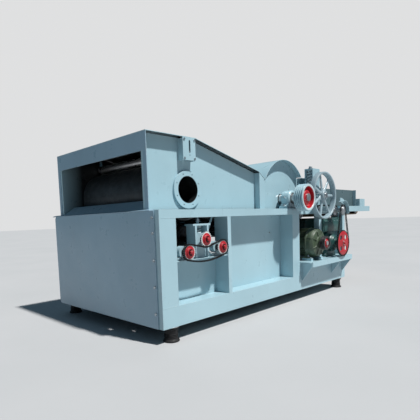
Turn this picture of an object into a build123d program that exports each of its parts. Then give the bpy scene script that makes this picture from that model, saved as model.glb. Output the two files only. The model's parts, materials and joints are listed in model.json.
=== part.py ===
from build123d import *
import os
from math import asin, atan2, cos, degrees, hypot, pi, radians, sin

# Textile waste opening and carding machine.  Millimetres.
# Machine stations: x from the delivery end face towards the feed table, y from the
# centreline (the drive side is -y) and z from the underside of the body.
# row() turns a station into the row frame: origin on the floor, under the middle of the
# machine's length and width.

os.makedirs("parts", exist_ok=True)

# ---------------------------------------------------------------- driving dimensions
LIP_X = -35            # outermost edge of the delivery chute
TABLE_END = 3235       # far end of the feed table rails
DRIVE_END = -785       # end of the motor shaft, drive side
PLAIN_END = 705        # end of the gear shafts, plain side
FOOT_H = 95            # the body stands this high on its feet

BODY_END = 2450        # end of the lower body
BODY_TOP = 705         # top of the lower body
FRAME_Y = 650          # outer face of the lower frame, each side
RAIL_IN = 530          # inner edge of the rails
SILL = 125             # height of the bottom rail
RAIL_LOW = 655         # underside of the top rail
SHEET = 4
FRAME_T = 5

WALL_Y = 510           # outer face of the casing side walls
FLANGE_Y = 560         # outer edge of covers and flanges
CASING_TOP = 1170
BEND_X = 410           # the top cover starts to slope down here
SLOPE_END = (1110, 1000)
SEAM_X = (1115, 1180)

CAGE = (365, 839)
CAGE_R = 200
DUCT_R = 85.5
SEAL = (357, 1076.2)
SEAL_R = 36
SLOT_Z = (1069, 1150)
SLOT_W = 14

CYL = (1490, 790)      # carding cylinder
DRUM_R = 262
PIN_R = 289
DOME_C = (1490, 785)
DOME_R = 335
DOME_LEFT = (1186, 949)
DOME_RIGHT = (1765, 994)
COVER_TOP = 982
COVER_END = 1882
CYL_SHAFT_R = 40
PULLEY_R = 111
PULLEY_Y = (-779, -699)

LEFT = (210, 443)      # delivery rollers
PRESS = (363, 514)
RIGHT = (520, 454)
ROLLER_R = 81.5
ROLLER_SHAFT_R = 20
SHELF_Z = 395

UPPER = (1850, 815)    # feed rollers
LOWER = (1850, 680)
FEED_R = 65
FEED_SHAFT_R = 22
GEAR_TEETH = 24
WHEEL_R = 208
WHEEL_Y = (-745, -695)
SPOKES = 7
COLUMN_X = (1815, 1945)
COLUMN_Y = (560, 640)
COLUMN_TOP = 1050

HEAD = (2166, 680)     # feed apron
TAIL = (3120, 690)
APRON_R = 40
BELT_T = 6
BELT_HALF = 495
TABLE_RAIL_Z = (670, 727)
TABLE_RAIL_Y = (562, 602)
GUARD_Y = 522
GUARD_END = 2950
GUARD_TOP = 905

MOTOR = (1800, 395)
MOTOR_R = 135
MOTOR_Y = (-700, -290)
MOTOR_PULLEY_R = 61
MOTOR_PULLEY_Y = (-782, -724)
MOTOR_SHAFT_R = 19
PLATFORM_TOP = 242
PLATFORM_X = (1560, 2395)
PLATFORM_FRONT = -750

OUTPUT = (2166, 370)   # reducer output
OUTPUT_SHAFT_R = 17.5

PITCH = 12.7           # roller chain
ROLLER_PIN_R = 4
SEAT_GAP = 0.7
CHAIN_W = 7.8
LINK_T = 1.5
SPROCKET_W = 7
TOOTH = 2              # tooth height above the pitch circle
RELIEF_R = 5.7         # the tooth flanks open out on this radius
RELIEF_OUT = 2.2
RUN = 0.05             # radial clearance of a running fit
GAP = 0.4              # clearance between sliding pieces

X_MID = (LIP_X + TABLE_END) / 2
Y_MID = (DRIVE_END + PLAIN_END) / 2
SIDES = (-1, 1)


# ---------------------------------------------------------------- helpers
def row(x, y, z):
    """Row position of a machine station."""
    return (x - X_MID, y - Y_MID, z + FOOT_H)


def side_plane(y):
    """Sketch plane across the machine at y: sketch axes are station x and z, extrude goes -y."""
    return Plane(origin=row(0, y, 0), x_dir=(1, 0, 0), z_dir=(0, -1, 0))


def end_plane(x):
    """Sketch plane at x: sketch axes are station y and z, extrude goes +x."""
    return Plane(origin=row(x, 0, 0), x_dir=(0, 1, 0), z_dir=(1, 0, 0))


def top_plane(z):
    """Sketch plane at height z: sketch axes are station x and y, extrude goes up."""
    return Plane(origin=row(0, 0, z))


def block(x, y, z, mode=Mode.ADD):
    """A box from three (low, high) pairs of stations."""
    with Locations(row(sum(x) / 2, sum(y) / 2, sum(z) / 2)):
        Box(abs(x[1] - x[0]), abs(y[1] - y[0]), abs(z[1] - z[0]), mode=mode)


def rod(centre, y, radius, mode=Mode.ADD):
    """A cylinder across the machine about (x, z)."""
    with Locations(Location(row(centre[0], sum(y) / 2, centre[1]), (90, 0, 0))):
        Cylinder(radius, abs(y[1] - y[0]), mode=mode)


def upright(x, y, z, radius, mode=Mode.ADD):
    """A vertical cylinder at (x, y) between two heights."""
    with Locations(row(x, y, sum(z) / 2)):
        Cylinder(radius, abs(z[1] - z[0]), mode=mode)


def outline(y, points, mode=Mode.ADD):
    """A flat plate across y whose outline is a polygon of (x, z) stations."""
    with BuildSketch(side_plane(max(y))) as section:
        with BuildLine():
            Polyline(*points, close=True)
        make_face()
    extrude(section.sketch, amount=abs(y[1] - y[0]), mode=mode)


def arc_sheet(centre, r_in, r_out, start, end, y, mode=Mode.ADD):
    """A sheet bent round (x, z), from one angle to another, anticlockwise, across y."""
    cx, cz = centre

    def at(radius, angle):
        return (cx + radius * cos(radians(angle)), cz + radius * sin(radians(angle)))

    mid = (start + end) / 2
    with BuildSketch(side_plane(max(y))) as section:
        with BuildLine():
            ThreePointArc(at(r_out, start), at(r_out, mid), at(r_out, end))
            Line(at(r_out, end), at(r_in, end))
            ThreePointArc(at(r_in, end), at(r_in, mid), at(r_in, start))
            Line(at(r_in, start), at(r_out, start))
        make_face()
    extrude(section.sketch, amount=abs(y[1] - y[0]), mode=mode)


def rail(x, side, y, z, thick):
    """A channel along x, open inwards, with closed ends."""
    block(x, (side * y[0], side * y[1]), z)
    inner = (x[0] + thick, x[1] - thick)
    block(inner, (side * (y[0] - 1), side * (y[1] - thick)), (z[0] + thick, z[1] - thick), Mode.SUBTRACT)


def post(x, side, y, z, thick):
    """A channel standing on end, open inwards."""
    block(x, (side * y[0], side * y[1]), z)
    block((x[0] + thick, x[1] - thick), (side * (y[0] - 1), side * (y[1] - thick)), z, Mode.SUBTRACT)


def tube_across(x, z, y, thick):
    """A rectangular tube across the machine."""
    block(x, y, z)
    inner_x = (x[0] + thick, x[1] - thick)
    block(inner_x, (y[0] - 1, y[1] + 1), (z[0] + thick, z[1] - thick), Mode.SUBTRACT)


def pitch_radius(teeth):
    return PITCH / (2 * sin(pi / teeth))


def tangent(a, b):
    """Direction, in degrees, of the chain run from wheel a to wheel b: (x, z, teeth, sense)."""
    dx, dz = b[0] - a[0], b[1] - a[1]
    offset = b[3] * pitch_radius(b[2]) - a[3] * pitch_radius(a[2])
    return degrees(atan2(dz, dx) - asin(offset / hypot(dx, dz)))


def seats(wheel, arrive, leave):
    """Roller centres on one wheel, from where the chain meets it to where it leaves."""
    x, z, teeth, sense = wheel
    step = 360 / teeth
    first = arrive - 90 * sense
    wrap = (sense * (leave - arrive)) % 360
    angles = [first + sense * step * i for i in range(int(wrap / step + 1e-6) + 1)]
    radius = pitch_radius(teeth)
    return [(x + radius * cos(radians(a)), z + radius * sin(radians(a))) for a in angles]


def run_ends(wheels, sag):
    """Directions in which each run leaves its wheel and meets the next one; the last run sags."""
    ends = []
    for i, wheel in enumerate(wheels):
        after = wheels[(i + 1) % len(wheels)]
        heading = tangent(wheel, after)
        droop = 0.0
        if i == len(wheels) - 1:
            droop = degrees(atan2(4 * sag, hypot(after[0] - wheel[0], after[1] - wheel[1])))
        ends.append((heading + droop, heading - droop))
    return ends


def chain_centres(wheels, sag=0.0):
    """Roller centres of a closed chain round the wheels; the last run may hang by sag."""
    count = len(wheels)
    ends = run_ends(wheels, sag)
    centres = []
    for i, wheel in enumerate(wheels):
        x, z, teeth, sense = wheel
        radius = pitch_radius(teeth)
        on_wheel = seats(wheel, ends[i - 1][1], ends[i][0])
        after = wheels[(i + 1) % count]
        target = seats(after, ends[i][1], ends[(i + 1) % count][0])[0]
        leave = radians(ends[i][0] - 90 * sense)
        corner = (x + radius * cos(leave), z + radius * sin(leave))
        last = on_wheel[-1]
        rest = 2 * radius * asin(min(1.0, hypot(corner[0] - last[0], corner[1] - last[1]) / (2 * radius)))
        drop = sag if i == count - 1 else 0.0
        span = hypot(target[0] - corner[0], target[1] - corner[1])
        length = rest + span + 8 * drop**2 / (3 * span)
        links = max(1, round(length / PITCH))
        centres += on_wheel
        for k in range(1, links):
            travelled = length * k / links
            if travelled < rest:
                angle = leave - sense * (rest - travelled) / radius
                centres.append((x + radius * cos(angle), z + radius * sin(angle)))
                continue
            t = (travelled - rest) / (length - rest)
            hang = 4 * drop * t * (1 - t)
            centres.append((corner[0] + (target[0] - corner[0]) * t,
                            corner[1] + (target[1] - corner[1]) * t - hang))
    return centres


def first_seat(wheels, index, sag=0.0):
    """Angle of one roller seat on a wheel, which sets how its teeth are turned."""
    return run_ends(wheels, sag)[index - 1][1] - 90 * wheels[index][3]


def sprocket(centre, teeth, phase, y_mid, bore, hub_r, hub_y, holes=0, width=SPROCKET_W):
    """A chain wheel with a hub; phase is the angle of one roller seat."""
    radius = pitch_radius(teeth)
    with BuildSketch(side_plane(y_mid + width / 2)) as section:
        with Locations(centre):
            Circle(radius + TOOTH)
            with PolarLocations(radius, teeth, start_angle=phase):
                Circle(ROLLER_PIN_R + SEAT_GAP, mode=Mode.SUBTRACT)
            with PolarLocations(radius + RELIEF_OUT, teeth, start_angle=phase):
                Circle(RELIEF_R, mode=Mode.SUBTRACT)
            if holes:
                with PolarLocations(radius * 0.62, holes, start_angle=45):
                    Circle(radius * 0.2, mode=Mode.SUBTRACT)
    extrude(section.sketch, amount=width)
    rod(centre, hub_y, hub_r)
    low = min(hub_y[0], y_mid - width / 2) - 1
    high = max(hub_y[1], y_mid + width / 2) + 1
    rod(centre, (low, high), bore, Mode.SUBTRACT)


def chain(wheels, y_mid, sag=0.0):
    """A closed roller chain: two rows of links, and the rollers of its free runs.

    The seats on the wheels stay empty, so the teeth turn between the two rows of the still chain.
    """
    centres = chain_centres(wheels, sag)
    rollers = [(x, z) for x, z in centres
               if all(hypot(x - wheel[0], z - wheel[1]) > pitch_radius(wheel[2]) + TOOTH + ROLLER_PIN_R + GAP
                      for wheel in wheels)]
    links = []
    for a, b in zip(centres, centres[1:] + centres[:1]):
        middle = ((a[0] + b[0]) / 2, (a[1] + b[1]) / 2, 0)
        links.append(Location(middle, (0, 0, degrees(atan2(b[1] - a[1], b[0] - a[0])))))
    for low in (y_mid - CHAIN_W / 2 - LINK_T, y_mid + CHAIN_W / 2):
        with BuildSketch(side_plane(low + LINK_T)) as section:
            with Locations(*links):
                SlotCenterToCenter(PITCH, 11)
        extrude(section.sketch, amount=LINK_T)
    with BuildSketch(side_plane(y_mid + CHAIN_W / 2)) as section:
        with Locations(*rollers):
            Circle(ROLLER_PIN_R)
    extrude(section.sketch, amount=CHAIN_W)


def gear(centre, y, phase, bore):
    """A spur gear whose mate stands one pitch diameter away; phase turns one tooth there."""
    pitch_r = (UPPER[1] - LOWER[1]) / 2
    module = 2 * pitch_r / GEAR_TEETH
    root, tip = pitch_r - 1.25 * module, pitch_r + 0.9 * module
    quarter = pi * module / 4
    with BuildSketch(side_plane(max(y))) as section:
        with Locations(centre):
            Circle(root)
            with PolarLocations(0, GEAR_TEETH, start_angle=phase):
                Polygon((root - 2, -1.35 * quarter), (tip, -0.5 * quarter), (tip, 0.5 * quarter),
                        (root - 2, 1.35 * quarter), align=None)
            Circle(bore, mode=Mode.SUBTRACT)
    extrude(section.sketch, amount=abs(y[1] - y[0]))


def coil(x, y, z, radius, wire, turns):
    """A round-wire spring standing at (x, y) between two heights."""
    height = abs(z[1] - z[0]) - 2 * wire
    base = row(x, y, z[0] + wire)
    path = Helix(pitch=height / turns, height=height, radius=radius, center=base)
    with BuildSketch(Plane(origin=path @ 0, z_dir=path % 0)) as section:
        Circle(wire)
    sweep(section.sketch, path=path, is_frenet=True)


# ---------------------------------------------------------------- lower frame
with BuildPart() as bottom_rails:
    for side in SIDES:
        rail((0, BODY_END), side, (RAIL_IN, FRAME_Y), (0, SILL), FRAME_T)

with BuildPart() as top_rails:
    for side in SIDES:
        rail((0, BODY_END), side, (RAIL_IN, FRAME_Y), (RAIL_LOW, BODY_TOP), FRAME_T)
        for centre in (LOWER, HEAD):
            rod(centre, (side * (RAIL_IN - 1), side * (FRAME_Y + 1)), FEED_SHAFT_R + 1, Mode.SUBTRACT)

POSTS = {                # x range and inner edge of each post along one side
    "corner": ((0, 130), RAIL_IN, FRAME_Y, SILL),
    "window": ((605, 640), RAIL_IN, FRAME_Y, SILL),
    "cylinder": ((1445, 1555), RAIL_IN, FRAME_Y, SILL),
    "drive": ((1965, 2015), 570, 620, PLATFORM_TOP),
    "end": ((2400, BODY_END), RAIL_IN, FRAME_Y, SILL),
}
with BuildPart() as side_posts:
    for side in SIDES:
        for x, y_in, y_out, foot in POSTS.values():
            post(x, side, (y_in, y_out), (foot, RAIL_LOW), FRAME_T)

with BuildPart() as cross_beams:
    for x in ((30, 90), (610, 670), (1470, 1530), (2340, 2400)):
        tube_across(x, (40, 90), (-RAIL_IN, RAIL_IN), 4)
    for x in ((20, 60), (640, 680), (1110, 1150), (2395, 2435)):
        tube_across(x, (RAIL_LOW, RAIL_LOW + 45), (-RAIL_IN, RAIL_IN), 4)

PANEL_Y = (RAIL_IN - SHEET, RAIL_IN)
with BuildPart() as side_panels:
    for side in SIDES:
        inset = (side * PANEL_Y[0], side * PANEL_Y[1])
        block((640, 1445), inset, (SILL, RAIL_LOW))
        block((130, 605), inset, (SILL, SHELF_Z))
        block((1555, 2400), (side * (FRAME_Y - FRAME_T), side * FRAME_Y), (SILL, PLATFORM_TOP - 6))

with BuildPart() as front_plate:
    with BuildSketch(end_plane(-6)):
        with BuildLine():
            Polyline((-612, 0), (650, 0), (650, 699), (-612, 699), close=True)
        make_face()
        fillet(vertices().group_by(Axis.X)[-1], 24)
    extrude(amount=6)

with BuildPart() as feet:
    for x in (100, 2350):
        for side in SIDES:
            upright(x, side * 602, (-FOOT_H, -FOOT_H + 14), 52)
            upright(x, side * 602, (-FOOT_H + 14, -8), 41)
            upright(x, side * 602, (-8, 0), 50)

with BuildPart() as dust_tray:
    block((95, 1465), (-524, 524), (SHEET, 2 * SHEET))
    for y in (-524, 524):
        block((95, 1465), (y, y - SHEET * y / abs(y)), (2 * SHEET, 38))

with BuildPart() as motor_platform:
    block(PLATFORM_X, (PLATFORM_FRONT + FRAME_T, 640), (PLATFORM_TOP - 6, PLATFORM_TOP))
    block((1600, PLATFORM_X[1]), (PLATFORM_FRONT, PLATFORM_FRONT + FRAME_T), (197, PLATFORM_TOP))
    for y in (-640, -400):
        for x in (MOTOR[0] - 108, MOTOR[0] + 72):
            block((x, x + 36), (y - 45, y + 45), (PLATFORM_TOP, PLATFORM_TOP + 20))
    for x in (1590, 2146, 2384):
        with BuildSketch(end_plane(x)):
            with BuildLine():
                Polyline((-FRAME_Y, PLATFORM_TOP - 6), (PLATFORM_FRONT + FRAME_T, PLATFORM_TOP - 6),
                         (PLATFORM_FRONT + FRAME_T, 200), (-FRAME_Y, 72), close=True)
            make_face()
        extrude(amount=8)

# ---------------------------------------------------------------- casing and covers
with BuildPart() as end_frame:
    block((0, SHEET), (-FLANGE_Y, FLANGE_Y), (1055, CASING_TOP - SHEET))
    for side in SIDES:
        block((0, SHEET), (side * 528, side * FLANGE_Y), (BODY_TOP + 5, 1055))

with BuildPart() as chute:
    with BuildSketch(side_plane(FRAME_Y - 24)):
        with BuildLine():
            Polyline((LIP_X, 699), (0, 699), (0, 711), (LIP_X, 704), close=True)
        make_face()
    extrude(amount=FRAME_Y - 24 + 612)
    with BuildSketch(side_plane(WALL_Y - 7)):
        with BuildLine():
            Polyline((0, 699), (0, 711), (90, 770), (150, 776), (150, 773), (91, 767), (14, 711), (14, 699),
                     close=True)
        make_face()
    extrude(amount=2 * (WALL_Y - 7))

WALL_TOP = CASING_TOP - SHEET
with BuildPart() as casing_walls:
    for side in SIDES:
        wall = (side * (WALL_Y - SHEET), side * WALL_Y)
        outline(wall, [(SHEET, BODY_TOP), (SEAM_X[0], BODY_TOP), (SEAM_X[0], 991), (BEND_X, WALL_TOP - 1),
                       (SHEET, WALL_TOP)])
        block((SHEET, 2 * SHEET), (side * WALL_Y, side * 556), (BODY_TOP, WALL_TOP))
        through = (side * (WALL_Y - 10), side * (WALL_Y + 2))
        rod(CAGE, through, DUCT_R + 2.5, Mode.SUBTRACT)
        block((SEAL[0] - 11, SEAL[0] + 11), through, SLOT_Z, Mode.SUBTRACT)
        outline(wall, [(SEAM_X[1], BODY_TOP), (COVER_END - SHEET, BODY_TOP),
                       (COVER_END - SHEET, COVER_TOP - SHEET), (1768, COVER_TOP - SHEET), (1740, 980),
                       (1690, 1010), (1350, 1010), (1240, 960), (1194, 936), (SEAM_X[1], 944)])
        rod(DOME_C, wall, DOME_R - SHEET - 0.5)
        block((900, 2000), through, (300, BODY_TOP), Mode.SUBTRACT)
        rod(CYL, through, CYL_SHAFT_R + 6, Mode.SUBTRACT)
        for lift in (0, 20):
            rod((UPPER[0], UPPER[1] + lift), through, FEED_SHAFT_R + 6, Mode.SUBTRACT)
        block((UPPER[0] - FEED_SHAFT_R - 6, UPPER[0] + FEED_SHAFT_R + 6), through,
              (UPPER[1], UPPER[1] + 20), Mode.SUBTRACT)

with BuildPart() as top_cover:
    block((0, BEND_X), (-FLANGE_Y, FLANGE_Y), (WALL_TOP, CASING_TOP))
    outline((-FLANGE_Y, FLANGE_Y), [(BEND_X, WALL_TOP), (SLOPE_END[0], SLOPE_END[1] - SHEET), SLOPE_END,
                                    (BEND_X, CASING_TOP)])
    outline((-FLANGE_Y, FLANGE_Y),
            [(SLOPE_END[0], SLOPE_END[1] - SHEET), (1183, 945), (1187, 948), SLOPE_END])

with BuildPart() as seam_posts:
    for side in SIDES:
        x_low, x_high = SEAM_X
        outline((side * WALL_Y, side * (FLANGE_Y - 1)),
                [(x_low, BODY_TOP), (x_high, BODY_TOP), (x_high, 944), (x_low, 990)])
        outline((side * (WALL_Y - 1), side * (FLANGE_Y - 1 - SHEET)),
                [(x_low + SHEET, BODY_TOP - 1), (x_high - SHEET, BODY_TOP - 1), (x_high - SHEET, 960),
                 (x_low + SHEET, 992)], Mode.SUBTRACT)

with BuildPart() as slotted_plates:
    for side in SIDES:
        face = (side * (FLANGE_Y - 6), side * FLANGE_Y)
        block((297, 409), face, (1022, WALL_TOP))
        for x in ((297, 301), (405, 409)):
            block(x, (side * WALL_Y, side * (FLANGE_Y - 6)), (1022, WALL_TOP - 6))
        cut = (side * (FLANGE_Y - 8), side * (FLANGE_Y + 1))
        for z in (SLOT_Z[0] + SLOT_W / 2, SLOT_Z[1] - SLOT_W / 2):
            rod((SEAL[0], z), cut, SLOT_W / 2, Mode.SUBTRACT)
        block((SEAL[0] - SLOT_W / 2, SEAL[0] + SLOT_W / 2), cut,
              (SLOT_Z[0] + SLOT_W / 2, SLOT_Z[1] - SLOT_W / 2), Mode.SUBTRACT)
        rod((SEAL[0], SLOT_Z[0] - 14), cut, 4, Mode.SUBTRACT)

COLLAR_PCD = 210
with BuildPart() as duct_collars:
    for side in SIDES:
        outside = (side * WALL_Y, side * (WALL_Y + 14))
        rod(CAGE, outside, 124)
        rod(CAGE, (side * 470, side * (WALL_Y - SHEET)), 95)
        rod(CAGE, outside, DUCT_R, Mode.SUBTRACT)
        rod(CAGE, (side * 469, side * WALL_Y), DUCT_R + 2.5, Mode.SUBTRACT)
        with Locations(Location(row(CAGE[0], side * (WALL_Y + 7), CAGE[1]), (90, 0, 0))):
            with PolarLocations(COLLAR_PCD / 2, 8, start_angle=22.5):
                Cylinder(4.5, 16, mode=Mode.SUBTRACT)

DOME_END = degrees(atan2(DOME_RIGHT[1] - DOME_C[1], DOME_RIGHT[0] - DOME_C[0]))
DOME_START = degrees(atan2(DOME_LEFT[1] - DOME_C[1], DOME_LEFT[0] - DOME_C[0]))
with BuildPart() as dome_cover:
    arc_sheet(DOME_C, DOME_R - SHEET, DOME_R, DOME_END, DOME_START, (-FLANGE_Y, FLANGE_Y))

with BuildPart() as feed_cover:
    block((1768, COVER_END), (-FLANGE_Y, FLANGE_Y), (COVER_TOP - SHEET, COVER_TOP))
    block((COVER_END - SHEET, COVER_END), (-FLANGE_Y, FLANGE_Y), (895, COVER_TOP - SHEET))

GRID_R = 312
with BuildPart() as dust_grid:
    for side in SIDES:
        arc_sheet(CYL, GRID_R, GRID_R + 24, 205, 320, (side * 510, side * 520))
    for i in range(15):
        angle = radians(209 + 107 * i / 14)
        centre = (CYL[0] + (GRID_R + 12) * cos(angle), CYL[1] + (GRID_R + 12) * sin(angle))
        rod(centre, (-510, 510), 8)

# ---------------------------------------------------------------- carding cylinder
with BuildPart() as cylinder_drum:
    rod(CYL, (-495, 495), DRUM_R)
    rod(CYL, (-496, 496), DRUM_R - 6, Mode.SUBTRACT)
    for y in ((-480, -468), (468, 480)):
        rod(CYL, y, DRUM_R - 5)
        rod(CYL, (min(y) - 14, max(y) + 14), 70)
    rod(CYL, (-496, 496), CYL_SHAFT_R, Mode.SUBTRACT)

LAGS = 16
LAG_T = 12
with BuildPart() as cylinder_lags:
    with Locations(Location(row(CYL[0], 0, CYL[1]), (90, 0, 0))):
        with PolarLocations(DRUM_R + LAG_T / 2, LAGS):
            Box(LAG_T, 30, 980)
            for k in range(20):
                with Locations(Location((LAG_T / 2, 0, -465 + k * 49), (0, 90, 0))):
                    Cone(4, 1.5, 15, align=(Align.CENTER, Align.CENTER, Align.MIN))

with BuildPart() as cylinder_shaft:
    rod(CYL, (-655, 655), CYL_SHAFT_R)
    rod(CYL, (-776, -655), 32)

with BuildPart() as cylinder_pulley:
    with BuildSketch(Plane(origin=row(CYL[0], 0, CYL[1]), x_dir=(1, 0, 0), z_dir=(0, 0, 1))):
        face, back = PULLEY_Y
        pitch = (back - face - 12) / 4
        rim = [(88, back), (88, face), (PULLEY_R, face)]
        for k in range(4):
            y0 = face + 6 + k * pitch
            rim += [(PULLEY_R, y0 + 2), (PULLEY_R - 14, y0 + 6.5), (PULLEY_R - 14, y0 + pitch - 6.5),
                    (PULLEY_R, y0 + pitch - 2)]
        rim += [(PULLEY_R, back)]
        with BuildLine():
            Polyline(*rim, close=True)
        make_face()
        with Locations(((88 + 50) / 2, face + 46)):
            Rectangle(90 - 48, 14)
        with Locations(((32 + 52) / 2, (face + 6 + back) / 2)):
            Rectangle(52 - 32, back - face - 6)
    revolve(axis=Axis(row(CYL[0], 0, CYL[1]), (0, 1, 0)))

with BuildPart() as cylinder_bearings:
    for side in SIDES:
        block((CYL[0] - 90, CYL[0] + 90), (side * 545, side * 635), (BODY_TOP, BODY_TOP + 26))
        block((CYL[0] - 62, CYL[0] + 62), (side * 552, side * 628), (BODY_TOP + 26, CYL[1] - 20))
        rod(CYL, (side * 548, side * 632), 68)
        rod(CYL, (side * 540, side * 640), CYL_SHAFT_R + RUN, Mode.SUBTRACT)
        block((CYL[0] - 90, CYL[0] + 90), (side * 540, side * 640), (BODY_TOP - 20, BODY_TOP), Mode.SUBTRACT)

# ---------------------------------------------------------------- condensing cage
CAGE_TEETH = 72
DELIVERY_TEETH = 24
CAGE_WHEELS = [(*CAGE, CAGE_TEETH, 1), (*RIGHT, DELIVERY_TEETH, 1)]
CAGE_CHAIN_Y = 495

with BuildPart() as cage_shell:
    rod(CAGE, (-486, 486), CAGE_R)
    rod(CAGE, (-487, 487), CAGE_R - 3, Mode.SUBTRACT)

with BuildPart() as cage_ends:
    for side in SIDES:
        rod(CAGE, (side * 476, side * 484), CAGE_R - 3)
        rod(CAGE, (side * 472, side * 489), 112)
        rod(CAGE, (side * 465, side * 490), 95 + RUN, Mode.SUBTRACT)
    sprocket(CAGE, CAGE_TEETH, first_seat(CAGE_WHEELS, 0), CAGE_CHAIN_Y, 95 + RUN, 112, (488, 498))

with BuildPart() as seal_roller:
    rod(SEAL, (-488, 488), SEAL_R)
    rod(SEAL, (-482, 482), SEAL_R - 4, Mode.SUBTRACT)
    with Locations(Location(row(SEAL[0], 0, SEAL[1]), (90, 0, 0))):
        with PolarLocations(20, 4):
            Cylinder(4, 980, mode=Mode.SUBTRACT)
    rod(SEAL, (-558, 558), SLOT_W / 2 - GAP)

# ---------------------------------------------------------------- delivery rollers
FRONT_WHEELS = [(*LEFT, DELIVERY_TEETH, -1), (*PRESS, DELIVERY_TEETH, 1), (*RIGHT, DELIVERY_TEETH, -1)]
FRONT_CHAIN_Y = -675
FRONT_SAG = 24


def hollow(centre, half, radius, wall):
    """Make a roller a tube with an end plate at each end, drilled to drain the tube."""
    rod(centre, (12 - half, half - 12), radius - wall, Mode.SUBTRACT)
    with Locations(Location(row(centre[0], 0, centre[1]), (90, 0, 0))):
        with PolarLocations((radius - wall + FEED_SHAFT_R) / 2, 4):
            Cylinder(5, 2 * half + 2, mode=Mode.SUBTRACT)


def delivery_roller(centre):
    """A tube roller with its shaft through both frame sides."""
    rod(centre, (-478, 478), ROLLER_R)
    hollow(centre, 478, ROLLER_R, 7)
    rod(centre, (-690, 640), ROLLER_SHAFT_R)


with BuildPart() as left_roller:
    delivery_roller(LEFT)

with BuildPart() as press_roller:
    delivery_roller(PRESS)

with BuildPart() as right_roller:
    delivery_roller(RIGHT)
    sprocket(RIGHT, DELIVERY_TEETH, first_seat(CAGE_WHEELS, 1), CAGE_CHAIN_Y, ROLLER_SHAFT_R - 1, 34,
             (479, 498))

FRONT_SPROCKETS = []
for index, wheel in enumerate(FRONT_WHEELS):
    with BuildPart() as front_sprocket:
        sprocket(wheel[:2], DELIVERY_TEETH, first_seat(FRONT_WHEELS, index, FRONT_SAG), FRONT_CHAIN_Y,
                 ROLLER_SHAFT_R, 34, (-688, -658))
    FRONT_SPROCKETS.append(front_sprocket)

with BuildPart() as roller_chains:
    chain(FRONT_WHEELS, FRONT_CHAIN_Y, FRONT_SAG)
    chain(CAGE_WHEELS, CAGE_CHAIN_Y)

BLOCK_X = (PRESS[0] - 46, PRESS[0] + 46)
BLOCK_Z = (PRESS[1] - 40, PRESS[1] + 40)
CAP_Z = 602
with BuildPart() as roller_stands:
    for side in SIDES:
        block((130, 605), (side * RAIL_IN, side * 645), (SHELF_Z - 6, SHELF_Z))
        for x in ((BLOCK_X[0] - GAP - 16, BLOCK_X[0] - GAP), (BLOCK_X[1] + GAP, BLOCK_X[1] + GAP + 16)):
            block(x, (side * 560, side * 640), (SHELF_Z, CAP_Z))
        block((BLOCK_X[0] - GAP, BLOCK_X[1] + GAP), (side * 575, side * 625), (SHELF_Z, BLOCK_Z[0] - GAP))
        block((BLOCK_X[0] - 34, BLOCK_X[1] + 34), (side * 560, side * 640), (CAP_Z, CAP_Z + 12))
        upright(PRESS[0], side * 600, (CAP_Z + 12, CAP_Z + 38), 9)
    outline((-RAIL_IN - 10, -RAIL_IN - 4), [(560, RAIL_LOW), (430, SHELF_Z), (448, SHELF_Z), (578, RAIL_LOW)])

with BuildPart() as press_blocks:
    for side in SIDES:
        block(BLOCK_X, (side * 562, side * 638), BLOCK_Z)
        rod(PRESS, (side * 560, side * 640), ROLLER_SHAFT_R + RUN, Mode.SUBTRACT)

with BuildPart() as press_springs:
    for side in SIDES:
        coil(PRESS[0], side * 600, (BLOCK_Z[1] + 0.2, CAP_Z - 0.2), 20, 3, 4)

with BuildPart() as bearing_blocks:
    for side in SIDES:
        for centre in (LEFT, RIGHT):
            block((centre[0] - 58, centre[0] + 58), (side * 580, side * 628), (SHELF_Z, SHELF_Z + 16))
            rod(centre, (side * 584, side * 624), 38)
            rod(centre, (side * 570, side * 640), ROLLER_SHAFT_R + RUN, Mode.SUBTRACT)
            block((centre[0] - 60, centre[0] + 60), (side * 570, side * 640), (380, SHELF_Z), Mode.SUBTRACT)
        for centre in (LOWER, HEAD):
            with Locations(row(centre[0], side * (FRAME_Y + 3), centre[1])):
                Box(64, 6, 46)
            rod(centre, (side * FRAME_Y, side * (FRAME_Y + 14)), 32)
            rod(centre, (side * (FRAME_Y - 1), side * (FRAME_Y + 16)), FEED_SHAFT_R + RUN, Mode.SUBTRACT)
        block((TAIL[0] - 60, TAIL[0] + 60), (side * 535, side * TABLE_RAIL_Y[0]),
              (TAIL[1] - 20, TAIL[1] + 34))
        rod(TAIL, (side * 530, side * 565), 18 + RUN, Mode.SUBTRACT)

# ---------------------------------------------------------------- feed rollers
GEAR_Y = (670, 700)
FEED_CHAIN_Y = -680
DRIVE_CHAIN_Y = -760
FEED_TEETH = 24
OUTPUT_TEETH = 60
FEED_WHEELS = [(*LOWER, FEED_TEETH, 1), (*HEAD, FEED_TEETH, 1)]
DRIVE_WHEELS = [(*OUTPUT, OUTPUT_TEETH, 1), (*HEAD, FEED_TEETH, 1)]
FLUTES = 30


def fluted_roller(centre):
    """A roller with lengthwise flutes."""
    with BuildSketch(side_plane(490)) as section:
        with Locations(centre):
            Circle(FEED_R)
            with PolarLocations(FEED_R + 1.5, FLUTES):
                Circle(4, mode=Mode.SUBTRACT)
    extrude(section.sketch, amount=980)
    hollow(centre, 490, FEED_R, 12)


with BuildPart() as upper_feed_roller:
    fluted_roller(UPPER)
    rod(UPPER, (WHEEL_Y[0] - 8, PLAIN_END), FEED_SHAFT_R)
    gear(UPPER, GEAR_Y, -90, FEED_SHAFT_R - 1)

with BuildPart() as lower_feed_roller:
    fluted_roller(LOWER)
    rod(LOWER, (FEED_CHAIN_Y - 12, PLAIN_END), FEED_SHAFT_R)
    gear(LOWER, GEAR_Y, 90 + 180 / GEAR_TEETH, FEED_SHAFT_R - 1)
    sprocket(LOWER, FEED_TEETH, first_seat(FEED_WHEELS, 0), FEED_CHAIN_Y, FEED_SHAFT_R - 1, 34,
             (FEED_CHAIN_Y - 4, -666))

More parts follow.
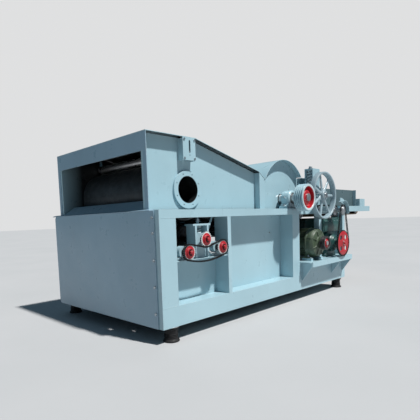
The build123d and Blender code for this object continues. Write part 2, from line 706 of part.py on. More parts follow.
with BuildPart() as spoked_wheel:
    rod(UPPER, WHEEL_Y, WHEEL_R)
    rod(UPPER, (WHEEL_Y[0] - 1, WHEEL_Y[1] + 1), WHEEL_R - 16, Mode.SUBTRACT)
    with BuildSketch(side_plane(-708)):
        with Locations(UPPER):
            with PolarLocations(0, SPOKES, start_angle=103):
                Polygon((30, -15), (WHEEL_R - 10, -9), (WHEEL_R - 10, 9), (30, 15), align=None)
    extrude(amount=18)
    rod(UPPER, (WHEEL_Y[0] + 2, WHEEL_Y[1]), 44)
    rod(UPPER, (WHEEL_Y[0] - 1, WHEEL_Y[1] + 1), FEED_SHAFT_R, Mode.SUBTRACT)

FEED_BLOCK_X = (COLUMN_X[0] + 14, COLUMN_X[1] - 14)
FEED_BLOCK_Z = (UPPER[1] - 50, UPPER[1] + 50)
PLATE_T = 8
with BuildPart() as spring_columns:
    for side in SIDES:
        for y in ((COLUMN_Y[0], COLUMN_Y[0] + PLATE_T), (COLUMN_Y[1] - PLATE_T, COLUMN_Y[1])):
            face = (side * y[0], side * y[1])
            block(COLUMN_X, face, (BODY_TOP, COLUMN_TOP))
            beyond = (side * (y[0] - 1), side * (y[1] + 1))
            for lift in (0, 22):
                rod((UPPER[0], UPPER[1] + lift), beyond, FEED_SHAFT_R + 4, Mode.SUBTRACT)
            block((UPPER[0] - FEED_SHAFT_R - 4, UPPER[0] + FEED_SHAFT_R + 4), beyond,
                  (UPPER[1], UPPER[1] + 22), Mode.SUBTRACT)
        between = (side * (COLUMN_Y[0] + PLATE_T), side * (COLUMN_Y[1] - PLATE_T))
        block((COLUMN_X[0] + 20, COLUMN_X[1] - 20), between, (BODY_TOP, FEED_BLOCK_Z[0] - GAP))
        block(COLUMN_X, (side * COLUMN_Y[0], side * COLUMN_Y[1]), (COLUMN_TOP, COLUMN_TOP + 12))
        upright(UPPER[0], side * 600, (COLUMN_TOP + 12, COLUMN_TOP + 34), 11)

with BuildPart() as feed_blocks:
    for side in SIDES:
        block(FEED_BLOCK_X, (side * (COLUMN_Y[0] + PLATE_T + GAP), side * (COLUMN_Y[1] - PLATE_T - GAP)),
              FEED_BLOCK_Z)
        rod(UPPER, (side * 560, side * 640), FEED_SHAFT_R + RUN, Mode.SUBTRACT)

with BuildPart() as feed_springs:
    for side in SIDES:
        coil(UPPER[0], side * 600, (FEED_BLOCK_Z[1] + 0.2, COLUMN_TOP - 0.2), 25, 5, 8)

# ---------------------------------------------------------------- feed apron and table
with BuildPart() as head_roller:
    rod(HEAD, (-490, 490), APRON_R)
    hollow(HEAD, 490, APRON_R, 5)
    rod(HEAD, (DRIVE_CHAIN_Y - 10, 668), FEED_SHAFT_R)
    sprocket(HEAD, FEED_TEETH, first_seat(FEED_WHEELS, 1), FEED_CHAIN_Y, FEED_SHAFT_R - 1, 34,
             (FEED_CHAIN_Y - 4, -666))
    sprocket(HEAD, FEED_TEETH, first_seat(DRIVE_WHEELS, 1), DRIVE_CHAIN_Y, FEED_SHAFT_R - 1, 34,
             (DRIVE_CHAIN_Y - 8, DRIVE_CHAIN_Y + 14))

with BuildPart() as tail_roller:
    rod(TAIL, (-490, 490), APRON_R)
    hollow(TAIL, 490, APRON_R, 5)
    rod(TAIL, (-559, 559), 18)

with BuildPart() as apron_belt:
    gap = 0.4
    slope = degrees(atan2(TAIL[1] - HEAD[1], TAIL[0] - HEAD[0]))
    length = hypot(TAIL[0] - HEAD[0], TAIL[1] - HEAD[1])
    with BuildSketch(side_plane(BELT_HALF)):
        middle = ((HEAD[0] + TAIL[0]) / 2, (HEAD[1] + TAIL[1]) / 2, 0)
        with Locations(Location(middle, (0, 0, slope))):
            SlotCenterToCenter(length, 2 * (APRON_R + gap + BELT_T))
            SlotCenterToCenter(length, 2 * (APRON_R + gap), mode=Mode.SUBTRACT)
            slat = APRON_R + gap + BELT_T + 2.5
            with GridLocations(34, 2 * slat, int(length / 34), 2):
                Rectangle(22, 6)
    extrude(amount=2 * BELT_HALF)

with BuildPart() as apron_bed:
    block((2240, 3050), (-500, 500), (HEAD[1] + 22, HEAD[1] + 26))
    block((2300, 2340), (-FRAME_Y + FRAME_T, FRAME_Y - FRAME_T), (HEAD[1] - 10, HEAD[1] + 19))
    block((2300, 2340), (-500, 500), (HEAD[1] + 19, HEAD[1] + 22))
    block((2990, 3030), (-TABLE_RAIL_Y[0], TABLE_RAIL_Y[0]), (HEAD[1] - 10, HEAD[1] + 22))
    outline((-500, 500), [(1925, 742), (2118, 742), (2118, 746), (1925, 746)])

with BuildPart() as table_rails:
    for side in SIDES:
        block((BODY_END, TABLE_END), (side * TABLE_RAIL_Y[0], side * TABLE_RAIL_Y[1]), TABLE_RAIL_Z)
        block((BODY_END + 5, TABLE_END - 5), (side * (TABLE_RAIL_Y[0] + 4), side * (TABLE_RAIL_Y[1] - 4)),
              (TABLE_RAIL_Z[0] + 4, TABLE_RAIL_Z[1] - 4), Mode.SUBTRACT)
    block((3192, 3228), (-TABLE_RAIL_Y[0], TABLE_RAIL_Y[0]), (TABLE_RAIL_Z[0] + 4, TABLE_RAIL_Z[0] + 34))

with BuildPart() as table_guards:
    top = TABLE_RAIL_Z[1]
    for side in SIDES:
        outline((side * GUARD_Y, side * (GUARD_Y + SHEET)),
                [(COVER_END + 4, BODY_TOP + 1), (BODY_END, BODY_TOP + 1), (BODY_END, top),
                 (GUARD_END, top), (GUARD_END, GUARD_TOP), (COVER_END + 4, GUARD_TOP)])
        block((BODY_END + 10, GUARD_END), (side * (GUARD_Y + SHEET), side * 600), (top, top + SHEET))
        block((GUARD_END - SHEET, GUARD_END), (side * (GUARD_Y + SHEET), side * FLANGE_Y),
              (top + SHEET, GUARD_TOP))

with BuildPart() as table_brackets:
    top = TABLE_RAIL_Z[1]
    for side in SIDES:
        block((2960, 3100), (side * 525, side * 598), (top, 808))
        block((2964, 3096), (side * 520, side * 594), (top + SHEET, 804), Mode.SUBTRACT)
        arc_sheet((2440, 600), 168, 212, 34, 88, (side * TABLE_RAIL_Y[1], side * (TABLE_RAIL_Y[1] + 6)))
    arc_sheet(HEAD, 88, 91, -22, 118, (-782, -738))
    block((HEAD[0] - 8, HEAD[0] + 8), (-738, -FRAME_Y + 10), (HEAD[1] + 88, HEAD[1] + 91))
    block((HEAD[0] - 8, HEAD[0] + 8), (-FRAME_Y + 7, -FRAME_Y + 10), (BODY_TOP, HEAD[1] + 88))

# ---------------------------------------------------------------- main motor
with BuildPart() as motor_body:
    with BuildSketch(side_plane(MOTOR_Y[1])):
        with Locations(MOTOR):
            Circle(118)
            with PolarLocations(124, 32):
                Rectangle(18, 4)
    extrude(amount=MOTOR_Y[1] - MOTOR_Y[0] - 70)
    rod(MOTOR, (MOTOR_Y[0] + 8, MOTOR_Y[0] + 70), MOTOR_R)
    rod(MOTOR, MOTOR_Y, 88)
    rod(MOTOR, (MOTOR_Y[1], MOTOR_Y[1] + 85), 126)
    for x in (MOTOR[0] - 108, MOTOR[0] + 72):
        block((x, x + 36), (-660, -380), (PLATFORM_TOP + 20, PLATFORM_TOP + 36))
        block((x + 8, x + 28), (-650, -390), (PLATFORM_TOP + 36, MOTOR[1] - 60))
    block((MOTOR[0] - 150, MOTOR[0] - 100), (-560, -440), (MOTOR[1] + 10, MOTOR[1] + 84))
    rod(MOTOR, (MOTOR_Y[0] - 1, MOTOR_Y[0] + 90), MOTOR_SHAFT_R + RUN, Mode.SUBTRACT)
    rod(MOTOR, (MOTOR_Y[0] + 80, MOTOR_Y[1] + 80), 84, Mode.SUBTRACT)
    with Locations(Location(row(MOTOR[0], MOTOR_Y[1] + 82, MOTOR[1]), (90, 0, 0))):
        with PolarLocations(60, 12):
            Cylinder(9, 20, mode=Mode.SUBTRACT)

with BuildPart() as motor_shaft:
    rod(MOTOR, (DRIVE_END, MOTOR_Y[1] + 40), MOTOR_SHAFT_R)
    rod(MOTOR, (MOTOR_Y[0] + 120, MOTOR_Y[0] + 350), 80)

with BuildPart() as motor_pulley:
    rod(MOTOR, MOTOR_PULLEY_Y, MOTOR_PULLEY_R)
    for k in range(3):
        y0 = MOTOR_PULLEY_Y[0] + 8 + k * 16
        rod(MOTOR, (y0 + 3, y0 + 10), MOTOR_PULLEY_R + 1, Mode.SUBTRACT)
        rod(MOTOR, (y0 + 3, y0 + 10), MOTOR_PULLEY_R - 11)
    rod(MOTOR, (MOTOR_PULLEY_Y[0] - 1, MOTOR_PULLEY_Y[0] + 12), 46, Mode.SUBTRACT)
    rod(MOTOR, (MOTOR_PULLEY_Y[0] + 2, MOTOR_PULLEY_Y[0] + 12), 32)
    rod(MOTOR, (MOTOR_PULLEY_Y[0] - 1, MOTOR_PULLEY_Y[1] + 1), MOTOR_SHAFT_R, Mode.SUBTRACT)

# ---------------------------------------------------------------- feed drive
with BuildPart() as speed_changer:
    block((2022, 2385), (-640, -440), (488, 602))
    fillet(edges().filter_by(Axis.Z), 10)
    rod((2204, 545), (-440, -200), 70)

with BuildPart() as reducer:
    block((2070, 2270), (-640, -470), (PLATFORM_TOP, PLATFORM_TOP + 18))
    block((2085, 2255), (-635, -480), (PLATFORM_TOP + 18, 488))
    rod(OUTPUT, (-690, -635), 84)
    rod(OUTPUT, (-705, -690), 46)
    rod(OUTPUT, (-706, -600), OUTPUT_SHAFT_R + RUN, Mode.SUBTRACT)

with BuildPart() as output_shaft:
    rod(OUTPUT, (DRIVE_CHAIN_Y - 12, -601), OUTPUT_SHAFT_R)

with BuildPart() as output_sprocket:
    sprocket(OUTPUT, OUTPUT_TEETH, first_seat(DRIVE_WHEELS, 0), DRIVE_CHAIN_Y, OUTPUT_SHAFT_R, 34,
             (DRIVE_CHAIN_Y - 8, DRIVE_CHAIN_Y + 22), holes=4)

with BuildPart() as feed_chains:
    chain(DRIVE_WHEELS, DRIVE_CHAIN_Y)
    chain(FEED_WHEELS, FEED_CHAIN_Y)

# ---------------------------------------------------------------- fasteners
PLATE_BOLT_Z = (90, 250, 410, 570, 660)
SIDE_BOLTS = [(x, z) for x in (309, 399) for z in (1034, 1154)]
BEARING_BOLT_X = (CYL[0] - 76, CYL[0] + 76)
with BuildPart() as fasteners:
    with BuildSketch(end_plane(-14)):
        with Locations(*[(-598, z) for z in PLATE_BOLT_Z]):
            RegularPolygon(9, 6)
    extrude(amount=8)
    for side in SIDES:
        for x, z in SIDE_BOLTS:
            rod((x, z), (side * FLANGE_Y, side * (FLANGE_Y + 5)), 7)
        for x in BEARING_BOLT_X:
            with BuildSketch(top_plane(BODY_TOP + 26)):
                with Locations((x, side * 590)):
                    RegularPolygon(11, 6)
            extrude(amount=10)
        for z in (GUARD_TOP - 125, GUARD_TOP - 55):
            with BuildSketch(end_plane(GUARD_END)):
                with Locations((side * 543, z)):
                    RegularPolygon(9, 6)
            extrude(amount=8)

# ---------------------------------------------------------------- write the pieces
PIECES = {
    "bottom_rails": bottom_rails, "top_rails": top_rails, "side_posts": side_posts,
    "cross_beams": cross_beams, "side_panels": side_panels, "front_plate": front_plate, "feet": feet,
    "dust_tray": dust_tray, "motor_platform": motor_platform,
    "end_frame": end_frame, "chute": chute, "casing_walls": casing_walls, "top_cover": top_cover,
    "seam_posts": seam_posts, "slotted_plates": slotted_plates, "duct_collars": duct_collars,
    "dome_cover": dome_cover, "feed_cover": feed_cover, "dust_grid": dust_grid,
    "cylinder_drum": cylinder_drum, "cylinder_lags": cylinder_lags, "cylinder_shaft": cylinder_shaft,
    "cylinder_pulley": cylinder_pulley, "cylinder_bearings": cylinder_bearings,
    "cage_shell": cage_shell, "cage_ends": cage_ends, "seal_roller": seal_roller,
    "left_roller": left_roller, "press_roller": press_roller, "right_roller": right_roller,
    "left_sprocket": FRONT_SPROCKETS[0], "press_sprocket": FRONT_SPROCKETS[1],
    "right_sprocket": FRONT_SPROCKETS[2], "roller_chains": roller_chains,
    "roller_stands": roller_stands, "press_blocks": press_blocks, "press_springs": press_springs,
    "bearing_blocks": bearing_blocks, "upper_feed_roller": upper_feed_roller,
    "lower_feed_roller": lower_feed_roller, "spoked_wheel": spoked_wheel,
    "spring_columns": spring_columns, "feed_blocks": feed_blocks, "feed_springs": feed_springs,
    "head_roller": head_roller, "tail_roller": tail_roller, "apron_belt": apron_belt,
    "apron_bed": apron_bed, "table_rails": table_rails, "table_guards": table_guards,
    "table_brackets": table_brackets, "motor_body": motor_body, "motor_shaft": motor_shaft,
    "motor_pulley": motor_pulley, "speed_changer": speed_changer, "reducer": reducer,
    "output_shaft": output_shaft, "output_sprocket": output_sprocket, "feed_chains": feed_chains,
    "fasteners": fasteners,
}
for name, piece in PIECES.items():
    piece.part.label = name
    export_step(piece.part, f"parts/{name}.step")
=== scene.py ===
import json
from math import asin, atan2, cos, degrees, hypot, pi, radians, sin

import bmesh
import bpy
from mathutils import Matrix, Vector


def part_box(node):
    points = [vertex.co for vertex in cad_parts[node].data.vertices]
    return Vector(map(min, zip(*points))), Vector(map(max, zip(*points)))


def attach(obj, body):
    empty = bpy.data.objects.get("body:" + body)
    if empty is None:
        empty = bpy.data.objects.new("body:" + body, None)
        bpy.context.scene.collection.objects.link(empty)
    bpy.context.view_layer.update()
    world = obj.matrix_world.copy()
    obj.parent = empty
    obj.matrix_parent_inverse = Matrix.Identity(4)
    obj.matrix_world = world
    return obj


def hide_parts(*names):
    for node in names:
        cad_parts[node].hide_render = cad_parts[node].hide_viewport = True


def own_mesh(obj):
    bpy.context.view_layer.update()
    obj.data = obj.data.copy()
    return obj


# Looks of a textile waste opening and carding machine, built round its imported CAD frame.
# Metres, in the row frame: x along the machine, -y is the drive side, z up from the floor.

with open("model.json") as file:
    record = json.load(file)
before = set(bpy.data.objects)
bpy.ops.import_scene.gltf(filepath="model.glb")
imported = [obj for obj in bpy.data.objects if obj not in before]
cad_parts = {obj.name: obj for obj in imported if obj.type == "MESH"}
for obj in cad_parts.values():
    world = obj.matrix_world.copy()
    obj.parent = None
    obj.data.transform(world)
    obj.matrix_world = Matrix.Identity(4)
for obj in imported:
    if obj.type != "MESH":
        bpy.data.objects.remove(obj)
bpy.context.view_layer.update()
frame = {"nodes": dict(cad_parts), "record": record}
mm = 0.001


# ---------------------------------------------------------------- places read from the frame
def middle(node):
    low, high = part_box(node)
    return (low + high) / 2


def axle(node):
    """(x, z) of the axis of a turned CAD node."""
    centre = middle(node)
    return centre.x, centre.z


def turned(place, radius, *steps):
    """(along, out) points for a lathe, from steps in millimetres past a place and a radius."""
    return [(place + along * mm, radius + out * mm) for along, out in steps]


def about(centre, count, radius, first=0.0):
    """(x, z) of points evenly round a centre, the first at an angle in degrees."""
    angles = [radians(first + 360 * k / count) for k in range(count)]
    return [(centre[0] + radius * cos(a), centre[1] + radius * sin(a)) for a in angles]


def turns(count, shift=0.5):
    return [2 * pi * (k + shift) / count for k in range(count)]


# ---------------------------------------------------------------- materials
class Graph:
    """A material's node graph, with short calls for the nodes used here."""

    def __init__(self, name):
        self.material = bpy.data.materials.new(name)
        self.material.use_nodes = True
        self.nodes = self.material.node_tree.nodes
        self.links = self.material.node_tree.links
        self.shader = self.nodes["Principled BSDF"]
        self.place = self.nodes.new("ShaderNodeTexCoord").outputs["Object"]

    def set(self, **values):
        for key, value in values.items():
            self.shader.inputs[key.replace("_", " ")].default_value = value

    def noise(self, scale, detail=4.0, stretch=(1, 1, 1), roughness=0.55):
        """Noise from 0 to 1; stretch above 1 makes it finer along that axis."""
        mapping = self.nodes.new("ShaderNodeMapping")
        mapping.inputs["Scale"].default_value = stretch
        noise = self.nodes.new("ShaderNodeTexNoise")
        noise.inputs["Scale"].default_value = scale
        noise.inputs["Detail"].default_value = detail
        noise.inputs["Roughness"].default_value = roughness
        self.links.new(self.place, mapping.inputs["Vector"])
        self.links.new(mapping.outputs["Vector"], noise.inputs["Vector"])
        return noise.outputs["Fac"]

    def range(self, value, low, high, out_low=0.0, out_high=1.0):
        node = self.nodes.new("ShaderNodeMapRange")
        for key, number in zip(("From Min", "From Max", "To Min", "To Max"), (low, high, out_low, out_high)):
            node.inputs[key].default_value = number
        self.links.new(value, node.inputs["Value"])
        return node.outputs["Result"]

    def maths(self, operation, a, b):
        node = self.nodes.new("ShaderNodeMath")
        node.operation = operation
        for value, socket in ((a, node.inputs[0]), (b, node.inputs[1])):
            if isinstance(value, (int, float)):
                socket.default_value = value
            else:
                self.links.new(value, socket)
        return node.outputs[0]

    def blend(self, factor, a, b):
        """Colour a, turning to b where factor is 1. Each is a colour or a socket."""
        node = self.nodes.new("ShaderNodeMix")
        node.data_type = "RGBA"
        self.links.new(factor, node.inputs[0])
        for value, socket in ((a, node.inputs[6]), (b, node.inputs[7])):
            if isinstance(value, tuple):
                socket.default_value = (*value, 1)
            else:
                self.links.new(value, socket)
        return node.outputs[2]

    def split(self, vector):
        node = self.nodes.new("ShaderNodeSeparateXYZ")
        self.links.new(vector, node.inputs[0])
        return node.outputs["X"], node.outputs["Y"], node.outputs["Z"]

    def length(self, a, b):
        squares = self.maths("ADD", self.maths("MULTIPLY", a, a), self.maths("MULTIPLY", b, b))
        return self.maths("SQRT", squares, 0)

    def soft_edges(self, radius):
        node = self.nodes.new("ShaderNodeBevel")
        node.samples = 4
        node.inputs["Radius"].default_value = radius
        return node.outputs["Normal"]

    def worn_edges(self, radius):
        """1 along outer edges, 0 on flat faces, broken up by noise."""
        node = self.nodes.new("ShaderNodeVectorMath")
        node.operation = "DOT_PRODUCT"
        self.links.new(self.soft_edges(radius), node.inputs[0])
        self.links.new(self.nodes.new("ShaderNodeNewGeometry").outputs["Normal"], node.inputs[1])
        edge = self.range(node.outputs["Value"], 0.985, 0.86)
        return self.maths("MULTIPLY", edge, self.range(self.noise(55, 6), 0.45, 0.6))

    def bump(self, height, distance, strength=1.0, normal=None):
        node = self.nodes.new("ShaderNodeBump")
        node.inputs["Distance"].default_value = distance
        node.inputs["Strength"].default_value = strength
        self.links.new(height, node.inputs["Height"])
        if normal is not None:
            self.links.new(normal, node.inputs["Normal"])
        return node.outputs["Normal"]

    def use(self, **sockets):
        for key, socket in sockets.items():
            self.links.new(socket, self.shader.inputs[key.replace("_", " ")])
        return self.material


def shade(colour, factor):
    return tuple(min(1.0, c * factor) for c in colour)


def enamel(name, colour, gloss=0.32, grime=0.5, shade_mask=None, painted_shade_colour=(0.01, 0.012, 0.013)):
    """Sprayed enamel on steel: slight orange peel, faint dirt, worn edges.
    Where the given mask function is 1, a flat dark colour replaces the enamel as painted shade."""
    primer, grain, edge = (0.62, 0.68, 0.68), 0.25 * mm, 2.5 * mm
    g = Graph(name)
    tone = g.range(g.noise(1.7, 4), 0.35, 0.65)
    base = g.blend(tone, shade(colour, 0.95), shade(colour, 1.04))
    streaks = g.maths("MULTIPLY", g.range(g.noise(3.1, 7, (2.2, 2.2, 0.7), 0.62), 0.52, 0.8), 0.35 * grime)
    base = g.blend(streaks, base, shade(colour, 0.7))
    dust = g.maths("MULTIPLY", g.range(g.noise(46, 8, roughness=0.72), 0.62, 0.76), 0.7 * grime)
    base = g.blend(dust, base, shade(colour, 0.55))
    base = g.blend(g.worn_edges(edge), base, primer)
    # painted shade: where the mask is 1 the enamel takes the given dark colour
    if shade_mask:
        base = g.blend(shade_mask(g), base, painted_shade_colour)
    rough = g.range(g.noise(14, 6), 0.3, 0.7, gloss - 0.07, gloss + 0.16)
    peel = g.bump(g.noise(260, 2), grain, 0.35, g.soft_edges(edge))
    waves = g.bump(g.noise(1.6, 2), 5 * mm, 0.12, peel)
    g.set(Coat_Weight=0.25, Coat_Roughness=0.2, Specular_IOR_Level=0.45)
    return g.use(Base_Color=base, Roughness=rough, Normal=waves)


def bare_metal(name, colour, gloss=0.3, grain=(1, 90, 1), stain=(0.16, 0.12, 0.09), stains=0.35):
    """Machined steel: fine tool marks, stains, scuffed edges."""
    g = Graph(name)
    edge = 1 * mm
    marks = g.noise(9, 4, grain)
    base = g.blend(g.range(marks, 0.3, 0.7), shade(colour, 0.86), shade(colour, 1.1))
    spots = g.maths("MULTIPLY", g.range(g.noise(18, 8, roughness=0.68), 0.56, 0.72), stains)
    base = g.blend(spots, base, stain)
    base = g.blend(g.worn_edges(edge), base, shade(colour, 1.35))
    rough = g.range(g.noise(30, 5), 0.3, 0.7, gloss - 0.06, gloss + 0.2)
    normal = g.bump(marks, 0.25 * mm, 0.4, g.soft_edges(edge))
    g.set(Metallic=1.0)
    return g.use(Base_Color=base, Roughness=rough, Normal=normal)


def galvanised(name, colour):
    """Zinc-coated sheet with its crystal spangle."""
    g = Graph(name)
    cells = g.nodes.new("ShaderNodeTexVoronoi")
    cells.inputs["Scale"].default_value = 70
    g.links.new(g.place, cells.inputs["Vector"])
    grey = g.nodes.new("ShaderNodeRGBToBW")
    g.links.new(cells.outputs["Color"], grey.inputs[0])
    base = g.blend(g.range(grey.outputs[0], 0.2, 0.8), shade(colour, 0.8), shade(colour, 1.15))
    base = g.blend(g.range(g.noise(8, 7), 0.55, 0.75, 0, 0.6), base, (0.3, 0.3, 0.29))
    rough = g.range(grey.outputs[0], 0.2, 0.8, 0.36, 0.58)
    g.set(Metallic=0.85)
    dents = g.bump(g.noise(20, 3), 1 * mm, 0.2, g.soft_edges(1 * mm))
    return g.use(Base_Color=base, Roughness=rough, Normal=dents)


def painted_casting(name, colour, gloss=0.42, grime=0.6, primer=(0.3, 0.3, 0.28)):
    """Paint over a sand casting: coarse bumps, dirt in patches, worn edges."""
    g = Graph(name)
    base = g.blend(g.range(g.noise(7, 6), 0.35, 0.65), shade(colour, 0.86), shade(colour, 1.1))
    dirt = g.maths("MULTIPLY", g.range(g.noise(16, 9, (1, 1, 0.5), 0.7), 0.5, 0.72), grime)
    base = g.blend(dirt, base, shade(colour, 0.45))
    base = g.blend(g.worn_edges(2 * mm), base, primer)
    rough = g.range(g.noise(25, 5), 0.3, 0.7, gloss - 0.1, gloss + 0.2)
    sand = g.bump(g.noise(150, 5, roughness=0.65), 0.8 * mm, 0.45, g.soft_edges(2 * mm))
    g.set(Coat_Weight=0.15, Coat_Roughness=0.3)
    return g.use(Base_Color=base, Roughness=rough, Normal=sand)


def moulded_rubber(name, colour):
    g = Graph(name)
    dust = g.range(g.noise(24, 8, roughness=0.7), 0.55, 0.8, 0, 0.3)
    base = g.blend(dust, colour, (0.13, 0.13, 0.125))
    g.set(Specular_IOR_Level=0.3)
    rough = g.range(g.noise(40, 4), 0.3, 0.7, 0.55, 0.85)
    skin = g.bump(g.noise(220, 4), 0.6 * mm, 0.5, g.soft_edges(2 * mm))
    return g.use(Base_Color=base, Roughness=rough, Normal=skin)


def apron_slats(name, colour):
    """Worn wooden lags with the grain along their length."""
    g = Graph(name)
    grain = g.noise(14, 8, (5, 0.35, 5), 0.65)
    base = g.blend(g.range(grain, 0.35, 0.68), shade(colour, 0.6), shade(colour, 1.3))
    base = g.blend(g.range(g.noise(9, 6), 0.55, 0.75, 0, 0.5), base, (0.09, 0.08, 0.07))
    rough = g.range(grain, 0.3, 0.7, 0.5, 0.78)
    g.set(Specular_IOR_Level=0.35)
    ridges = g.bump(grain, 0.8 * mm, 0.6, g.soft_edges(1.5 * mm))
    return g.use(Base_Color=base, Roughness=rough, Normal=ridges)


def floor_material():
    g = Graph("floor_paper")
    base = g.blend(g.range(g.noise(0.8, 4), 0.3, 0.7), (0.42, 0.43, 0.44), (0.45, 0.455, 0.465))
    g.set(Roughness=0.92, Specular_IOR_Level=0.15)
    return g.use(Base_Color=base, Normal=g.bump(g.noise(90, 4), 1 * mm, 0.12))


DUCT_BORE = 88.5 * mm
WALL_FLANGE = 48 * mm       # from the edge of the wall flanges to just inside the wall's outer face
# span behind the mouth over which the painted shade on the walls' inner faces deepens
MOUTH_SHADE_FADE = (10 * mm, 170 * mm)
GUARD_FLANGE = 4.5 * mm
CAGE_RADIUS = 0.2
HOLE_ROW = 0.866            # height of an equilateral triangle of holes


def shade_inside_duct(g):
    """1 inside the bore of the duct collars, which is painted near-black as shade."""
    x, z = axle("duct_collars")
    across, _, up = g.split(g.place)
    reach = g.length(g.maths("SUBTRACT", across, x), g.maths("SUBTRACT", up, z))
    return g.maths("LESS_THAN", reach, DUCT_BORE)


def shade_behind_mouth(g):
    """Painted shade on the walls' inner faces: 0 on the outer faces; on the inner ones 0.25 at the mouth,
    rising to 1 behind it.
    """
    along, across, _ = g.split(g.place)
    low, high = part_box("casing_walls")
    aside = g.maths("ABSOLUTE", g.maths("SUBTRACT", across, (low.y + high.y) / 2), 0)
    inner = g.maths("LESS_THAN", aside, (high.y - low.y) / 2 - WALL_FLANGE)
    depth = g.range(along, low.x + MOUTH_SHADE_FADE[0], low.x + MOUTH_SHADE_FADE[1], 0.25, 1.0)
    return g.maths("MULTIPLY", inner, depth)


def shade_under_cover(g):
    """Painted shade: 1 on the downward faces of the top cover, which are painted near-black."""
    normal = g.nodes.new("ShaderNodeNewGeometry").outputs["True Normal"]
    return g.maths("LESS_THAN", g.split(normal)[2], -0.5)


def shade_on_guard_sides(g):
    """Painted shade: 1 on the guards' long side plates, which take a dark teal-grey, 0 on their end flanges.
    """
    return g.maths("LESS_THAN", g.split(g.place)[0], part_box("table_guards")[1].x - GUARD_FLANGE)


def perforated(name, colour, pitch=9 * mm, hole=0.3):
    """Screen sheet bent to the cage's drum, with staggered round holes filled near-black as painted shade;
    the sheet's dark grey is partly steel and partly painted shade.
    """
    g = Graph(name)
    x, z = axle("cage_shell")
    along, across, up = g.split(g.place)
    around = g.maths("ARCTAN2", g.maths("SUBTRACT", up, z), g.maths("SUBTRACT", along, x))
    row_place = g.maths("MULTIPLY", around, CAGE_RADIUS / (HOLE_ROW * pitch))
    shift = g.maths("MULTIPLY", g.maths("FLOOR", row_place, 0), 0.5)
    column = g.maths("FRACT", g.maths("ADD", g.maths("DIVIDE", across, pitch), shift), 0)
    away = g.length(g.maths("SUBTRACT", column, 0.5),
                    g.maths("SUBTRACT", g.maths("FRACT", row_place, 0), 0.5))
    sheet = g.range(away, hole - 0.05, hole + 0.05)
    metal = g.blend(g.range(g.noise(12, 7), 0.35, 0.7), shade(colour, 0.75), shade(colour, 1.25))
    # holes near-black as painted shade of the drum's inside
    base = g.blend(sheet, (0.004, 0.004, 0.005), metal)
    rough = g.range(g.noise(20, 5), 0.3, 0.7, 0.34, 0.6)
    g.set(Metallic=0.6)
    return g.use(Base_Color=base, Roughness=rough, Normal=g.bump(sheet, 1.2 * mm, 0.6))


SKY_BLUE = (0.352, 0.522, 0.588)
# a darker, bluer copy of the sky blue: painted shade for the end faces and chute
END_SHADE_BLUE = (0.262, 0.398, 0.492)
FINISH = {
    "enamel": enamel("sky_blue_enamel", SKY_BLUE),
    # a darker copy of the sky-blue enamel, as painted shade
    "shade_enamel": enamel("painted_shade_blue_enamel", shade(SKY_BLUE, 0.82), grime=0.7),
    "steel": bare_metal("machined_steel", (0.56, 0.57, 0.58)),
    # near-black oiled steel; on the delivery rollers it also stands for painted shade
    "dark_steel": bare_metal("oiled_steel_and_painted_shade", (0.045, 0.045, 0.048), gloss=0.36, grain=(3, 3, 3),
                             stain=(0.012, 0.011, 0.010), stains=0.6),
    "galvanised": galvanised("galvanised_sheet", (0.52, 0.55, 0.56)),
    "red_enamel": painted_casting("red_enamel", (0.44, 0.010, 0.020), gloss=0.4, grime=0.4),
    "olive_enamel": painted_casting("olive_enamel", (0.058, 0.086, 0.052)),
    "teal_enamel": painted_casting("teal_enamel", (0.022, 0.085, 0.08), gloss=0.36),
    "cast": painted_casting("blue_casting", shade(SKY_BLUE, 0.98), gloss=0.36, grime=0.35,
                            primer=(0.5, 0.55, 0.56)),
    "rubber": moulded_rubber("black_rubber", (0.013, 0.013, 0.014)),
    "apron": apron_slats("wooden_apron", (0.20, 0.135, 0.08)),
    "bolt": bare_metal("zinc_bolts", (0.42, 0.47, 0.50), gloss=0.36, grain=(2, 2, 2),
                       stain=(0.12, 0.13, 0.13)),
}
PALE_CAST = painted_casting("pale_casting", (0.56, 0.66, 0.69), gloss=0.34, grime=0.4)
WHEEL_CAST = painted_casting("wheel_casting", (0.30, 0.40, 0.45), gloss=0.34, grime=0.5)
TOOTH_STEEL = painted_casting("zinc_teeth", (0.62, 0.66, 0.66), gloss=0.35, grime=0.3)
BLACK_CAST = painted_casting("black_casting", (0.022, 0.023, 0.025), gloss=0.4)
# near-black casting for parts inside the casing, as painted shade
INSIDE_SHADE_CAST = painted_casting("inside_painted_shade_casting", (0.035, 0.045, 0.05), gloss=0.5, grime=0.6)
END_SHADE_ENAMEL = enamel("end_face_painted_shade_enamel", END_SHADE_BLUE, grime=0.6)
OWN_FINISH = {
    "casing_walls": enamel("wall_enamel_painted_shade", SKY_BLUE, shade_mask=shade_behind_mouth),
    "top_cover": enamel("cover_enamel_painted_shade", SKY_BLUE, shade_mask=shade_under_cover),
    "duct_collars": enamel("duct_enamel_painted_shade", SKY_BLUE, shade_mask=shade_inside_duct),
    # the guards' side plates are painted dark teal-grey as shade; their end flanges keep the blue enamel
    "table_guards": enamel("guard_enamel_painted_shade", SKY_BLUE, grime=0.8, shade_mask=shade_on_guard_sides,
                           painted_shade_colour=(0.085, 0.135, 0.15)),
    # the cage screen's dark grey is partly steel and partly painted shade
    "cage_shell": perforated("cage_screen_painted_shade", (0.075, 0.09, 0.10)),
    # end plate, end frame and chute take the darker blue as painted shade
    **dict.fromkeys(("front_plate", "end_frame", "chute"), END_SHADE_ENAMEL),
    # cage ends, dust tray and dust grid are near-black as painted shade
    **dict.fromkeys(("cage_ends", "dust_tray", "dust_grid"), INSIDE_SHADE_CAST),
    # the delivery rollers take the near-black oiled steel as painted shade
    **dict.fromkeys(("left_roller", "press_roller", "right_roller"), FINISH["dark_steel"]),
}

